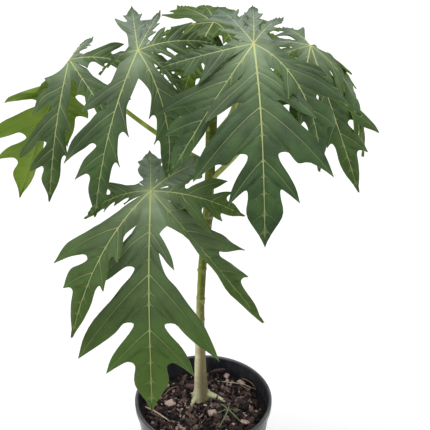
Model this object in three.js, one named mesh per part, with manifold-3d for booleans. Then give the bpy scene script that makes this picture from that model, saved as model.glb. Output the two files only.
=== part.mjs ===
// A young papaya tree in a round nursery pot, in millimetres.
// +Z is up, the origin is the middle of the pot's flat underside, and the photographed side faces -Y.
import * as THREE from "three";
import { mergeVertices } from "three/addons/utils/BufferGeometryUtils.js";
import Module from "manifold-3d";

const wasm = await Module();
wasm.setup();

// Driving dimensions

const GAP = 0.3; // clearance between neighbouring solids
const SLIVER = 0.02; // edges shorter than this are closed up after a join
const SEGMENTS = 48; // facets round the pot and the potting mix

const POT_HEIGHT = 190;
const POT_RIM_RADIUS = 100;
const POT_BASE_RADIUS = 74;
const POT_WALL = 2.5;
const POT_FLOOR = 3;
const LIP_HEIGHT = 14; // the rolled band round the rim
const LIP_STEP = 3; // how far that band stands out of the wall
const EDGE_ROUND = 1.5;
const DRAIN_HOLES = 6;
const DRAIN_RADIUS = 6;
const DRAIN_CIRCLE = 48;

const MIX_LEVEL = 165; // top of the potting mix, where the trunk is cut flat
const MIX_RIPPLE = 2.5; // unevenness of the mix
const CHIP_COUNT = 26;
const CHIP_LENGTH = 15;
const CHIP_CIRCLE = 76;

// The trunk: heights above the pot's underside, the sideways lean, and the radius at each.
const TRUNK_BASE = [-4, 30];
const TRUNK_COURSE = [
  { height: MIX_LEVEL, lean: 0, radius: 13.6 },
  { height: 171, lean: 0, radius: 12 },
  { height: 182, lean: 0, radius: 10.2 },
  { height: 230, lean: -0.5, radius: 8.3 },
  { height: 290, lean: -0.5, radius: 6.4 },
  { height: 340, lean: 0.5, radius: 5.6 },
  { height: 400, lean: 3.5, radius: 5.7 },
  { height: 470, lean: 10.5, radius: 6.8 },
  { height: 560, lean: 15, radius: 6.5 },
  { height: 596, lean: 16, radius: 7.2 },
  { height: 632, lean: 17, radius: 7 },
  { height: 648, lean: 17.5, radius: 3.4 },
];
const TRUNK_SIDES = 16;
const SURFACE_ROOTS = [
  { toward: [-14, -18], radius: 3.6 },
  { toward: [40, -8], radius: 4 },
];
const SCARS = [
  { height: 305, turn: 200 },
  { height: 342, turn: 340 },
  { height: 392, turn: 120 },
  { height: 436, turn: 250 },
  { height: 478, turn: 30 },
];
const SCAR_RADIUS = 3;

const STALK_BASE_RADIUS = 3.9;
const STALK_TIP_RADIUS = 2.5;
const STALK_SIDES = 10;
const STALK_STEPS = 7;
const STALK_SAG = [0.55, 0.36]; // bend point: share of the run outward, share of the rise

const BLADE_THICKNESS = 4.5; // about a hundredth of a leaf's spread
const SINUS_NEAR_MAIN = 0.2; // how near the hub the gap between two lobes reaches, of their length
const SINUS_ELSEWHERE = 0.24;
const SINUS_WIDE_GAP = 0.14;
const WIDE_GAP = 84; // degrees
const WEB_SHARE = [0.5, 0.3, 0.12]; // how far a lobe's first margin points follow its neighbour
const TWISTED_WEB_SHARE = [0.5];

// One side of a lobe as fractions of the lobe's length. A row holds where its vein leaves the midrib,
// then how far forward and how far sideways the margin is. Row 0 is the gap beside the lobe.
const MARGINS = {
  main: [
    [0.1, 0, 0],
    [0.14, 0.27, 0.15],
    [0.18, 0.43, 0.245],
    [0.23, 0.36, 0.135],
    [0.285, 0.345, 0.066],
    [0.325, 0.46, 0.16],
    [0.345, 0.58, 0.242],
    [0.368, 0.765, 0.312],
    [0.445, 0.635, 0.162],
    [0.525, 0.592, 0.07],
    [0.575, 0.7, 0.143],
    [0.615, 0.83, 0.2],
    [0.68, 0.77, 0.11],
    [0.745, 0.785, 0.072],
    [0.86, 0.9, 0.06],
  ],
  toothed: [
    [0.1, 0, 0],
    [0.19, 0.38, 0.175],
    [0.24, 0.51, 0.265],
    [0.3, 0.66, 0.325],
    [0.4, 0.56, 0.175],
    [0.5, 0.55, 0.083],
    [0.56, 0.64, 0.155],
    [0.6, 0.765, 0.175],
    [0.7, 0.75, 0.08],
    [0.86, 0.9, 0.052],
  ],
  slender: [
    [0.1, 0, 0],
    [0.22, 0.335, 0.062],
    [0.31, 0.49, 0.13],
    [0.42, 0.5, 0.064],
    [0.52, 0.67, 0.12],
    [0.64, 0.69, 0.064],
    [0.8, 0.84, 0.06],
  ],
  rear: [
    [0.1, 0, 0],
    [0.22, 0.38, 0.14],
    [0.34, 0.64, 0.24],
    [0.46, 0.565, 0.105],
    [0.62, 0.77, 0.13],
    [0.69, 0.75, 0.085],
  ],
  plain: [
    [0.1, 0, 0],
    [0.22, 0.31, 0.15],
    [0.32, 0.43, 0.195],
    [0.42, 0.55, 0.165],
    [0.52, 0.67, 0.185],
    [0.64, 0.72, 0.12],
    [0.8, 0.85, 0.075],
  ],
  curled: [
    [0.1, 0, 0],
    [0.2, 0.3, 0.048],
    [0.35, 0.45, 0.036],
    [0.5, 0.6, 0.048],
    [0.65, 0.74, 0.056],
    [0.85, 0.9, 0.034],
  ],
};
const FIRST_TOOTH = [0.12, 0.25]; // the side veins of a main margin's first tooth
const LONG_TOOTH = [0.3, 0.43];
const LAST_TOOTH = [0.55, 0.7];
MARGINS.short = changeTooth(MARGINS.main, FIRST_TOOTH, 0.82, 0.46);
MARGINS.tapered = changeTooth(changeTooth(MARGINS.main, LAST_TOOTH, 0.98, 0.78), LONG_TOOTH, 0.92, 0.97);

// A margin with one tooth shortened and narrowed.
function changeTooth(rows, [low, high], forwardShare, sidewaysShare) {
  return rows.map(([vein, forward, sideways]) => {
    const inTooth = vein > low && vein < high;
    if (!inTooth) return [vein, forward, sideways];
    return [vein, forward * forwardShare, sideways * sidewaysShare];
  });
}

// Which margin a lobe has on its left and on its right, walking outward along it.
const LOBE_KINDS = {
  main: ["main", "main"],
  wide: ["main", "main"],
  crown: ["tapered", "tapered"],
  front: ["short", "main"],
  half_right: ["slender", "main"],
  left: ["toothed", "slender"],
  right: ["slender", "toothed"],
  left_curled: ["toothed", "curled"],
  right_curled: ["curled", "toothed"],
  rear: ["rear", "rear"],
  slim: ["slender", "slender"],
  plain: ["plain", "plain"],
  full: ["main", "toothed"],
  half_left: ["main", "curled"],
};
const BROAD_KINDS = ["main", "crown", "front", "half_right", "half_left"];
const TWIST_REACH = [0, 0.22]; // where along a lobe its twist about the midrib begins and is full

// The leaves. hub: where the stalk meets the blade. stalk: height at which it leaves the trunk.
// fold: how far each half of a lobe slopes away from its midrib, degrees.
// lobes: heading seen from above, slope at the hub, bend down to the tip (degrees), length, kind,
// and for a twisted lobe how far it turns about its midrib, left side up (degrees).
const LEAVES = [
  {
    name: "leaf_front_low",
    hub: [-60, -95, 590],
    stalk: 508,
    fold: 6,
    lobes: [
      [268, -50, 26, 270, "front"],
      [338, -45, 4, 214, "left_curled"],
      [8, -6, 30, 124, "full", 35],
      [46, 17, 30, 108, "plain", 30],
      [92, 27, 36, 80, "plain"],
      [172, -4, 50, 98, "right", -30],
      [230, -16, 54, 204, "right"],
    ],
  },
  {
    name: "leaf_right",
    hub: [132, 0, 737],
    stalk: 536,
    fold: 12,
    lobes: [
      [299, -50, 8, 186, "left"],
      [354, -34, 60, 170, "main"],
      [40, -26, 56, 150, "left"],
      [82, -15, 60, 120, "left"],
      [116, 14, 42, 90, "rear"],
      [160, 6, 22, 74, "rear"],
      [212, 2, 28, 96, "right"],
      [260, -10, 12, 150, "right"],
    ],
  },
  {
    name: "leaf_far_left",
    hub: [-170, 70, 690],
    stalk: 558,
    fold: 14,
    lobes: [
      [161, -64, 4, 240, "half_left", 100],
      [244, -58, 20, 188, "half_right"],
      [298, -12, 8, 142, "left"],
      [0, 14, 48, 100, "left", 35],
      [70, 12, 20, 74, "slim"],
      [108, -36, 60, 184, "right"],
    ],
  },
  {
    name: "leaf_front_top",
    hub: [60, -90, 775],
    stalk: 580,
    fold: 4,
    lobes: [
      [274, -18, 50, 242, "crown"],
      [312, -1, 92, 178, "left"],
      [352, -28, 10, 148, "left"],
      [62, 20, 38, 84, "slim"],
      [88, 26, 38, 90, "slim"],
      [116, 17, 23, 98, "wide"],
      [188, -9, 8, 112, "left", -30],
      [234, -28, 8, 186, "right_curled"],
    ],
  },
  {
    name: "leaf_back_right",
    hub: [95, 130, 680],
    stalk: 596,
    fold: 10,
    lobes: [
      [60, -24, 70, 200, "main"],
      [104, -18, 70, 176, "left"],
      [146, -4, 66, 140, "left"],
      [190, 12, 60, 96, "rear"],
      [240, 22, 60, 76, "rear"],
      [290, 18, 60, 90, "rear"],
      [334, -4, 66, 140, "right"],
      [16, -18, 70, 176, "right"],
    ],
  },
  {
    name: "leaf_top_left",
    hub: [-73, -40, 747],
    stalk: 610,
    fold: 8,
    lobes: [
      [236, -46, 32, 205, "half_right"],
      [306, -28, 90, 172, "left"],
      [344, -20, 52, 88, "left"],
      [22, 14, 36, 100, "wide", 35],
      [70, 24, 10, 74, "slim"],
      [99, 28, 30, 92, "rear"],
      [166, -12, 50, 62, "rear"],
    ],
  },
  {
    name: "leaf_back_top",
    hub: [15, 100, 729],
    stalk: 622,
    fold: 10,
    lobes: [
      [94, -5, 14, 150, "main"],
      [116, 0, 18, 124, "left"],
      [200, 6, 30, 82, "left"],
      [252, -8, 32, 136, "wide"],
      [288, 18, 46, 96, "rear"],
      [334, 10, 50, 96, "rear"],
      [16, 0, 50, 120, "right"],
      [54, -6, 24, 140, "right"],
    ],
  },
  {
    name: "leaf_young",
    hub: [46, 18, 670],
    stalk: 640,
    fold: 16,
    lobes: [
      [336, 30, 50, 66, "main"],
      [24, 34, 50, 58, "left"],
      [70, 38, 50, 48, "rear"],
      [124, 40, 50, 40, "rear"],
      [188, 40, 50, 40, "rear"],
      [242, 38, 50, 48, "rear"],
      [288, 34, 50, 58, "right"],
    ],
  },
];

// Small helpers

const rad = THREE.MathUtils.degToRad;

function vec(x, y, z) {
  return new THREE.Vector3(x, y, z);
}

// A repeatable number from 0 to 1 for each whole number.
function scatter(n) {
  const s = Math.sin(n * 12.9898 + 4.1414) * 43758.5453;
  return s - Math.floor(s);
}

function fromTriangles(points, triangles) {
  const geometry = new THREE.BufferGeometry();
  const flat = points.flatMap((p) => [p.x, p.y, p.z]);
  geometry.setAttribute("position", new THREE.Float32BufferAttribute(flat, 3));
  geometry.setIndex(triangles.flat());
  return geometry;
}

function toSolid(geometry) {
  const bare = geometry.clone();
  bare.deleteAttribute("normal");
  bare.deleteAttribute("uv");
  const merged = mergeVertices(bare, 1e-4);
  const mesh = new wasm.Mesh({
    numProp: 3,
    vertProperties: new Float32Array(merged.attributes.position.array),
    triVerts: new Uint32Array(merged.index.array),
  });
  return new wasm.Manifold(mesh);
}

function toGeometry(solid) {
  const mesh = solid.getMesh();
  const geometry = new THREE.BufferGeometry();
  geometry.setAttribute("position", new THREE.BufferAttribute(mesh.vertProperties, 3));
  geometry.setIndex(new THREE.BufferAttribute(mesh.triVerts, 1));
  return geometry;
}

// The largest body of a solid that a cut may have left in pieces.
function largestBody(solid) {
  const bodies = solid.decompose();
  bodies.sort((a, b) => b.volume() - a.volume());
  return bodies[0];
}

// A round limb along a course of points, closed at both ends, with a radius at each point.
function limb(points, radii, sides) {
  const rings = points.map((p, i) => {
    const before = points[Math.max(i - 1, 0)];
    const after = points[Math.min(i + 1, points.length - 1)];
    const along = after.clone().sub(before).normalize();
    const side = vec(0, 1, 0).cross(along).normalize();
    const front = along.clone().cross(side);
    return Array.from({ length: sides }, (_, k) => {
      const turn = (2 * Math.PI * k) / sides;
      const out = side.clone().multiplyScalar(Math.cos(turn));
      out.addScaledVector(front, Math.sin(turn));
      return p.clone().addScaledVector(out, radii[i]);
    });
  });
  const vertices = rings.flat();
  const first = vertices.push(points[0].clone()) - 1;
  const last = vertices.push(points[points.length - 1].clone()) - 1;
  const triangles = [];
  const end = (points.length - 1) * sides;
  for (let k = 0; k < sides; k++) {
    const next = (k + 1) % sides;
    for (let i = 0; i < end; i += sides) {
      triangles.push([i + k, i + next, i + sides + next]);
      triangles.push([i + k, i + sides + next, i + sides + k]);
    }
    triangles.push([first, next, k]);
    triangles.push([last, end + k, end + next]);
  }
  return fromTriangles(vertices, triangles);
}

// The pot: a tapered shell with a banded rim, a flat floor and drain holes

// Outside radius of the wall at a height.
function wallRadius(height) {
  const top = POT_HEIGHT - LIP_HEIGHT;
  const share = Math.min(height / top, 1);
  return THREE.MathUtils.lerp(POT_BASE_RADIUS, POT_RIM_RADIUS - LIP_STEP, share);
}

function potSolid() {
  const bandFoot = POT_HEIGHT - LIP_HEIGHT;
  const mouth = POT_RIM_RADIUS - LIP_STEP - POT_WALL;
  const profile = [
    [0, 0],
    [POT_BASE_RADIUS - EDGE_ROUND, 0],
    [wallRadius(EDGE_ROUND), EDGE_ROUND],
    [wallRadius(bandFoot), bandFoot],
    [POT_RIM_RADIUS - EDGE_ROUND / 2, bandFoot + EDGE_ROUND / 2],
    [POT_RIM_RADIUS, bandFoot + 2 * EDGE_ROUND],
    [POT_RIM_RADIUS, POT_HEIGHT - EDGE_ROUND],
    [POT_RIM_RADIUS - EDGE_ROUND, POT_HEIGHT],
    [mouth + 2 * EDGE_ROUND, POT_HEIGHT],
    [mouth + EDGE_ROUND, POT_HEIGHT - EDGE_ROUND],
    [mouth, bandFoot],
    [wallRadius(POT_FLOOR) - POT_WALL, POT_FLOOR],
    [0, POT_FLOOR],
  ];
  const points = profile.map(([r, z]) => new THREE.Vector2(r, z));
  const shell = toSolid(new THREE.LatheGeometry(points, SEGMENTS).rotateX(Math.PI / 2));
  const holes = Array.from({ length: DRAIN_HOLES }, (_, i) => {
    const turn = (2 * Math.PI * i) / DRAIN_HOLES;
    const hole = new THREE.CylinderGeometry(DRAIN_RADIUS, DRAIN_RADIUS, 4 * POT_FLOOR, 16);
    hole.rotateX(Math.PI / 2);
    hole.translate(DRAIN_CIRCLE * Math.cos(turn), DRAIN_CIRCLE * Math.sin(turn), 0);
    return toSolid(hole);
  });
  return holes.reduce((rest, hole) => rest.subtract(hole), shell);
}

// The potting mix: an uneven bed of bark chips that fills the pot up to the trunk's foot

function mixHeight(x, y) {
  const fromTrunk = Math.hypot(x - TRUNK_BASE[0] - 6, y - TRUNK_BASE[1] + 8);
  const away = THREE.MathUtils.smoothstep(fromTrunk, 36, 52);
  const wave = Math.sin(x * 0.11 + 1) * Math.cos(y * 0.13) + Math.sin((x + y) * 0.21);
  return MIX_LEVEL + away * MIX_RIPPLE * (wave / 2 - 0.3);
}

function mixBed() {
  const rings = [18, 36, 54, 70, 82];
  const edge = wallRadius(MIX_LEVEL - MIX_RIPPLE) - POT_WALL - GAP;
  const foot = wallRadius(POT_FLOOR) - POT_WALL - GAP;
  const points = [vec(0, 0, mixHeight(0, 0))];
  const ring = (radius, heightAt) => {
    for (let k = 0; k < SEGMENTS; k++) {
      const turn = (2 * Math.PI * k) / SEGMENTS;
      const x = radius * Math.cos(turn);
      const y = radius * Math.sin(turn);
      points.push(vec(x, y, heightAt(x, y)));
    }
  };
  rings.forEach((r) => ring(r, mixHeight));
  ring(edge, () => MIX_LEVEL - MIX_RIPPLE);
  ring(foot, () => POT_FLOOR + GAP);
  const last = points.push(vec(0, 0, POT_FLOOR + GAP)) - 1;
  const triangles = [];
  for (let k = 0; k < SEGMENTS; k++) {
    const next = (k + 1) % SEGMENTS;
    triangles.push([0, 1 + k, 1 + next]);
    for (let i = 0; i <= rings.length; i++) {
      const inner = 1 + i * SEGMENTS;
      const outer = inner + SEGMENTS;
      triangles.push([inner + k, outer + k, outer + next]);
      triangles.push([inner + k, outer + next, inner + next]);
    }
    const base = 1 + (rings.length + 1) * SEGMENTS;
    triangles.push([last, base + next, base + k]);
  }
  return toSolid(fromTriangles(points, triangles));
}

// A bark chip: a small block with its corners moved about.
function chip(seed, length, centre, tilt, turn) {
  const block = new THREE.BoxGeometry(length, length * 0.6, length * 0.3).toNonIndexed();
  const at = block.attributes.position;
  for (let i = 0; i < at.count; i++) {
    const corner = Math.sign(at.getX(i)) + 3 * Math.sign(at.getY(i)) + 9 * Math.sign(at.getZ(i));
    const grow = 0.75 + 0.5 * scatter(seed * 31 + corner);
    at.setXYZ(i, at.getX(i) * grow, at.getY(i) * (1.5 - grow / 2), at.getZ(i) * grow);
  }
  block.rotateX(tilt).rotateZ(turn).translate(...centre);
  return toSolid(block);
}

function mixSolid() {
  let bed = mixBed();
  for (let i = 0; i < CHIP_COUNT; i++) {
    const turn = 2.4 * i + 0.6 * scatter(i);
    const radius = CHIP_CIRCLE * Math.sqrt((i + 0.5) / CHIP_COUNT);
    const x = radius * Math.cos(turn);
    const y = radius * Math.sin(turn);
    const nearTrunk = Math.hypot(x - TRUNK_BASE[0] - 6, y - TRUNK_BASE[1] + 8) < 40;
    if (nearTrunk) continue;
    const length = CHIP_LENGTH * (0.7 + 0.6 * scatter(i + 50));
    const tilt = 0.5 * (scatter(i + 90) - 0.5);
    bed = bed.add(chip(i, length, [x, y, mixHeight(x, y) + 0.5], tilt, 6 * scatter(i + 70)));
  }
  const leaning = chip(7, 24, [30, 72, MIX_LEVEL + 7], 1.25, -0.4);
  return largestBody(bed.add(leaning));
}

// The trunk: tapering and slightly leaning, with two surface roots and leaf scars

function trunkPoint(height) {
  const after = TRUNK_COURSE.findIndex((row) => row.height >= height);
  const high = TRUNK_COURSE[Math.max(after, 1)];
  const low = TRUNK_COURSE[Math.max(after, 1) - 1];
  const share = (height - low.height) / (high.height - low.height);
  const lean = THREE.MathUtils.lerp(low.lean, high.lean, share);
  const radius = THREE.MathUtils.lerp(low.radius, high.radius, share);
  return { centre: vec(TRUNK_BASE[0] + lean, TRUNK_BASE[1], height), radius };
}

function trunkShaft(extra) {
  const points = TRUNK_COURSE.map((row) => trunkPoint(row.height).centre);
  const radii = TRUNK_COURSE.map((row) => row.radius + extra);
  points[0].z -= 5;
  points[points.length - 1].z += extra;
  return toSolid(limb(points, radii, TRUNK_SIDES));
}

function surfaceRoot({ toward, radius }) {
  const foot = vec(TRUNK_BASE[0], TRUNK_BASE[1], 0);
  const out = vec(toward[0], toward[1], 0);
  const heights = [10, 6, 2.5, 1.5, 0];
  const shares = [0, 0.3, 0.55, 0.8, 1];
  const thickness = [1.4, 1.2, 1, 0.8, 0.5];
  const points = shares.map((s, i) => {
    const p = foot.clone().addScaledVector(out, s);
    p.z = MIX_LEVEL + heights[i];
    return p;
  });
  const radii = thickness.map((t) => t * radius);
  return toSolid(limb(points, radii, STALK_SIDES));
}

function scar({ height, turn }) {
  const { centre, radius } = trunkPoint(height);
  const bump = new THREE.IcosahedronGeometry(SCAR_RADIUS, 1);
  bump.scale(0.6, 1.2, 0.8);
  bump.rotateZ(rad(turn));
  const reach = radius - 0.6;
  bump.translate(centre.x + reach * Math.cos(rad(turn)), centre.y + reach * Math.sin(rad(turn)), height);
  return toSolid(bump);
}

function trunkSolid() {
  let trunk = trunkShaft(0);
  for (const root of SURFACE_ROOTS) trunk = trunk.add(surfaceRoot(root));
  for (const mark of SCARS) trunk = trunk.add(scar(mark));
  return trunk.trimByPlane([0, 0, 1], MIX_LEVEL + GAP);
}

// A lobe: its midrib is a circular arc in an upright plane, its two halves fold down from it

function makeLobe(hub, fold, [heading, rise, bend, length, kind, twist = 0]) {
  const out = vec(Math.cos(rad(heading)), Math.sin(rad(heading)), 0);
  const across = vec(-out.y, out.x, 0);
  const angles = { fold: rad(fold), rise: rad(rise), bend: rad(bend), twist: rad(twist) };
  return { hub, heading, length, kind, out, across, ...angles };
}

// The middle of a lobe at `along` its midrib, with the directions to its left and up from its face. The
// blade on a side vein keeps the twist that the midrib has at `foot`, where that vein leaves it.
function lobeFrame(lobe, along, foot) {
  const turnRate = lobe.bend / lobe.length;
  const slope = lobe.rise - turnRate * along;
  const run = (Math.sin(lobe.rise) - Math.sin(slope)) / turnRate;
  const climb = (Math.cos(slope) - Math.cos(lobe.rise)) / turnRate;
  const middle = lobe.hub.clone().addScaledVector(lobe.out, run);
  middle.z += climb;
  const normal = lobe.out.clone().multiplyScalar(-Math.sin(slope));
  normal.z += Math.cos(slope);
  const turn = lobe.twist * THREE.MathUtils.smoothstep(foot / lobe.length, ...TWIST_REACH);
  const beside = lobe.across.clone().multiplyScalar(Math.cos(turn)).addScaledVector(normal, Math.sin(turn));
  const above = normal.multiplyScalar(Math.cos(turn)).addScaledVector(lobe.across, -Math.sin(turn));
  return { middle, beside, above };
}

// Point of the lobe's blade: `along` the midrib from the hub, `aside` to the left of it.
function bladePoint(lobe, along, aside, foot = along) {
  const { middle, beside, above } = lobeFrame(lobe, along, foot);
  middle.addScaledVector(beside, aside * Math.cos(lobe.fold));
  return middle.addScaledVector(above, -Math.abs(aside) * Math.sin(lobe.fold));
}

// How near the hub the gap between two neighbouring lobes reaches.
function sinusRadius(a, b, gap) {
  const mean = (a.length + b.length) / 2;
  if (gap > WIDE_GAP) return SINUS_WIDE_GAP * mean;
  const broad = BROAD_KINDS.includes(a.kind) || BROAD_KINDS.includes(b.kind);
  const share = broad ? SINUS_NEAR_MAIN : SINUS_ELSEWHERE;
  return share * mean;
}

// Margin of one side (+1 left, -1 right) of a lobe, from the gap beside it to the last row before the tip.
function marginPoints(lobe, neighbour, side) {
  const gap = (side * (neighbour.heading - lobe.heading) + 360) % 360;
  const half = rad(gap / 2);
  const reach = sinusRadius(lobe, neighbour, gap);
  const rows = MARGINS[LOBE_KINDS[lobe.kind][side > 0 ? 0 : 1]];
  return rows.map(([vein, forward, sideways], i) => {
    const along = i ? forward * lobe.length : reach * Math.cos(half);
    const aside = side * (i ? sideways * lobe.length : reach * Math.sin(half));
    const own = bladePoint(lobe, along, aside, vein * lobe.length);
    const share = (lobe.twist ? TWISTED_WEB_SHARE : WEB_SHARE)[i] ?? 0;
    if (share) {
      const turn = side * rad(gap);
      const along2 = along * Math.cos(turn) + aside * Math.sin(turn);
      const aside2 = aside * Math.cos(turn) - along * Math.sin(turn);
      own.lerp(bladePoint(neighbour, along2, aside2), share);
    }
    return { vein, point: own };
  });
}

// The upper face of a leaf: shared points, and for each lobe its triangles, fans of veins on both sides.
// facing: which way up a point of a twisted lobe faces, because its bent faces can't tell.
function bladeFace(leaf) {
  const hub = vec(...leaf.hub);
  const lobes = leaf.lobes.map((row) => makeLobe(hub, leaf.fold, row));
  const points = [hub];
  const facing = [];
  const add = (p) => points.push(p) - 1;
  const gaps = [];
  const patches = lobes.map((lobe, i) => {
    const left = lobes[(i + 1) % lobes.length];
    const right = lobes[(i + lobes.length - 1) % lobes.length];
    const margins = { left: marginPoints(lobe, left, 1), right: marginPoints(lobe, right, -1) };
    const veins = [...new Set([...margins.left, ...margins.right].map((m) => m.vein))];
    veins.sort((a, b) => a - b);
    const addOwn = ({ vein, point }) => {
      const id = add(point);
      if (lobe.twist) facing[id] = lobeFrame(lobe, 0, vein * lobe.length).above;
      return { vein, id };
    };
    const midribPoint = (vein) => ({ vein, point: bladePoint(lobe, vein * lobe.length, 0) });
    const midrib = veins.map((vein) => addOwn(midribPoint(vein)));
    const tip = addOwn(midribPoint(1)).id;
    const triangles = [];
    for (const side of ["left", "right"]) {
      const gap = side === "left" ? i : (i + lobes.length - 1) % lobes.length;
      const [sinus, ...edge] = margins[side];
      gaps[gap] ??= add(sinus.point);
      const rim = [{ vein: sinus.vein, id: gaps[gap] }];
      for (const m of edge) rim.push(addOwn(m));
      const face = (a, b, c) => triangles.push(side === "left" ? [a, b, c] : [a, c, b]);
      face(0, midrib[0].id, rim[0].id);
      let m = 0;
      let r = 0;
      while (m < midrib.length - 1 || r < rim.length - 1) {
        const nextMid = midrib[m + 1]?.vein ?? Infinity;
        const nextRim = rim[r + 1]?.vein ?? Infinity;
        if (nextMid <= nextRim) {
          face(midrib[m].id, midrib[m + 1].id, rim[r].id);
          m += 1;
        } else {
          face(midrib[m].id, rim[r + 1].id, rim[r].id);
          r += 1;
        }
      }
      face(midrib[m].id, tip, rim[r].id);
    }
    return triangles;
  });
  return { points, patches, facing };
}

function faceNormals(points, triangles) {
  const normals = points.map(() => vec(0, 0, 0));
  for (const [a, b, c] of triangles) {
    const u = points[b].clone().sub(points[a]);
    const v = points[c].clone().sub(points[a]);
    const n = u.cross(v).normalize();
    for (const i of [a, b, c]) normals[i].add(n);
  }
  return normals.map((n) => n.normalize());
}

// One lobe: its upper face, the same face let down by the thickness, and a wall all round.
function lobeSolid(points, under, patch) {
  const count = points.length;
  const triangles = [...patch];
  const edges = new Set();
  for (const [a, b, c] of patch) {
    triangles.push([a + count, c + count, b + count]);
    for (const edge of [[a, b], [b, c], [c, a]]) edges.add(edge.join());
  }
  for (const edge of edges) {
    const [from, to] = edge.split(",").map(Number);
    if (edges.has([to, from].join())) continue;
    triangles.push([from, from + count, to + count]);
    triangles.push([from, to + count, to]);
  }
  return toSolid(fromTriangles([...points, ...under], triangles));
}

// A leaf blade: its lobes joined, which also merges lobes that lie on one another.
function bladeSolid(leaf) {
  const { points, patches, facing } = bladeFace(leaf);
  const normals = faceNormals(points, patches.flat()).map((n, i) => facing[i] ?? n);
  const under = points.map((p, i) => p.clone().addScaledVector(normals[i], -BLADE_THICKNESS));
  const lobes = patches.map((patch) => lobeSolid(points, under, patch));
  const solid = wasm.Manifold.union(lobes).simplify(SLIVER);
  return { solid: largestBody(solid), normal: normals[0] };
}

// A leaf stalk: one tapering limb from the trunk to the underside of the blade

function stalkSolid(leaf, blade) {
  const start = trunkPoint(leaf.stalk).centre;
  const end = vec(...leaf.hub).addScaledVector(blade.normal, -BLADE_THICKNESS / 2);
  const bend = start.clone().lerp(end, STALK_SAG[0]);
  bend.z = THREE.MathUtils.lerp(start.z, end.z, STALK_SAG[1]);
  const curve = new THREE.QuadraticBezierCurve3(start, bend, end);
  const points = curve.getPoints(STALK_STEPS);
  const radii = points.map((_, i) => {
    const share = i / STALK_STEPS;
    return THREE.MathUtils.lerp(STALK_BASE_RADIUS, STALK_TIP_RADIUS, share);
  });
  const whole = toSolid(limb(points, radii, STALK_SIDES));
  const seat = blade.solid.translate(blade.normal.clone().multiplyScalar(-GAP).toArray());
  return largestBody(whole.subtract(trunkShaft(GAP)).subtract(seat));
}

// The whole plant, one named mesh for each piece

const SURFACES = {
  pot: { color: 0x24272b, roughness: 0.45 },
  mix: { color: 0x3d2f2a, roughness: 0.95 },
  trunk: { color: 0xb5b184, roughness: 0.7 },
  stalk: { color: 0x8a9a3c, roughness: 0.6 },
  leaf: { color: 0x3f6b3a, roughness: 0.6 },
};

function addPiece(group, name, solid, surface) {
  const material = new THREE.MeshStandardMaterial({ ...SURFACES[surface], metalness: 0 });
  const geometry = toGeometry(solid);
  geometry.computeVertexNormals();
  const mesh = new THREE.Mesh(geometry, material);
  mesh.name = name;
  group.add(mesh);
}

const group = new THREE.Group();
addPiece(group, "pot", potSolid(), "pot");
addPiece(group, "potting_mix", mixSolid(), "mix");
addPiece(group, "trunk", trunkSolid(), "trunk");
for (const leaf of LEAVES) {
  const blade = bladeSolid(leaf);
  addPiece(group, leaf.name, blade.solid, "leaf");
  addPiece(group, leaf.name.replace("leaf", "stalk"), stalkSolid(leaf, blade), "stalk");
}

export default group;
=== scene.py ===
# %% [markdown]
# # A young papaya tree in a nursery pot
# The tree has one slim trunk, eight long-stalked leaves and a black pot of bark mix.
# The solid model gives every piece its place and size. This script gives each piece its finer form and
# its finish. Shapes are worked out in millimetres and turned into metres when a mesh is made. Finishes count
# in metres, Blender's own unit, so a pattern's scale is its number of lumps in a metre.

import math

import bmesh
import bpy
import numpy as np
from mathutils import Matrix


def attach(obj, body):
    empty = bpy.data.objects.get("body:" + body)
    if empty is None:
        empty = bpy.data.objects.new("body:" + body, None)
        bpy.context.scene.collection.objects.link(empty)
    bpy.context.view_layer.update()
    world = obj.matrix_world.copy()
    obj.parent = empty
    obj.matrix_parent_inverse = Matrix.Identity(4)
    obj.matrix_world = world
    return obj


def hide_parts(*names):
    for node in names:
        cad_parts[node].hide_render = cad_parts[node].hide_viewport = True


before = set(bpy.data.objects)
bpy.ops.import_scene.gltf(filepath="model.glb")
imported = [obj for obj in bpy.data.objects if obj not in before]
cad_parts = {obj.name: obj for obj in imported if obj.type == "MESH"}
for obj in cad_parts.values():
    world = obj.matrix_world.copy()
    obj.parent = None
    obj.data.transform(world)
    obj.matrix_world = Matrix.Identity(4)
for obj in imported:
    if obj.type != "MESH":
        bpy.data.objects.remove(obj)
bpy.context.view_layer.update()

# %% [markdown]
# ## The camera
# The round pot rim is a known circle, so its ellipse in the picture gives the camera's height, tilt and
# distance. Guessing by eye would do for one view, but leaves placed through a wrong camera look right only
# from the front. This one stands about 1.2 m in front of the pot and 1.2 m above the floor, and looks down by
# 31 degrees through a lens as long as a portrait lens.

# %% Camera
CAMERA_PLACE = (0.017, -1.211, 1.218)
CAMERA_TILT = 30.66
FOCAL_PIXELS = 1070
FRAME_PIXELS = 430
SENSOR_WIDTH = 36

camera_data = bpy.data.cameras.new("camera")
camera_data.sensor_width = SENSOR_WIDTH
camera_data.lens = SENSOR_WIDTH * FOCAL_PIXELS / FRAME_PIXELS
camera = bpy.data.objects.new("camera", camera_data)
camera.location = CAMERA_PLACE
camera.rotation_euler = (math.radians(90 - CAMERA_TILT), 0, 0)
bpy.context.scene.collection.objects.link(camera)
bpy.context.scene.camera = camera
print("lens", round(camera_data.lens, 1), "mm")

# %% [markdown]
# ## From arrays to a mesh
# Every new piece is a set of points and faces worked out with whole arrays. They could be modelled by hand,
# but a formula can be read, changed and run again. A grid of rows and columns gives four-cornered faces, and
# rows that shrink to a point are welded afterwards, which closes tips and poles.

# %% Mesh helpers
MM = 0.001
SLIVER = 1e-7


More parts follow.
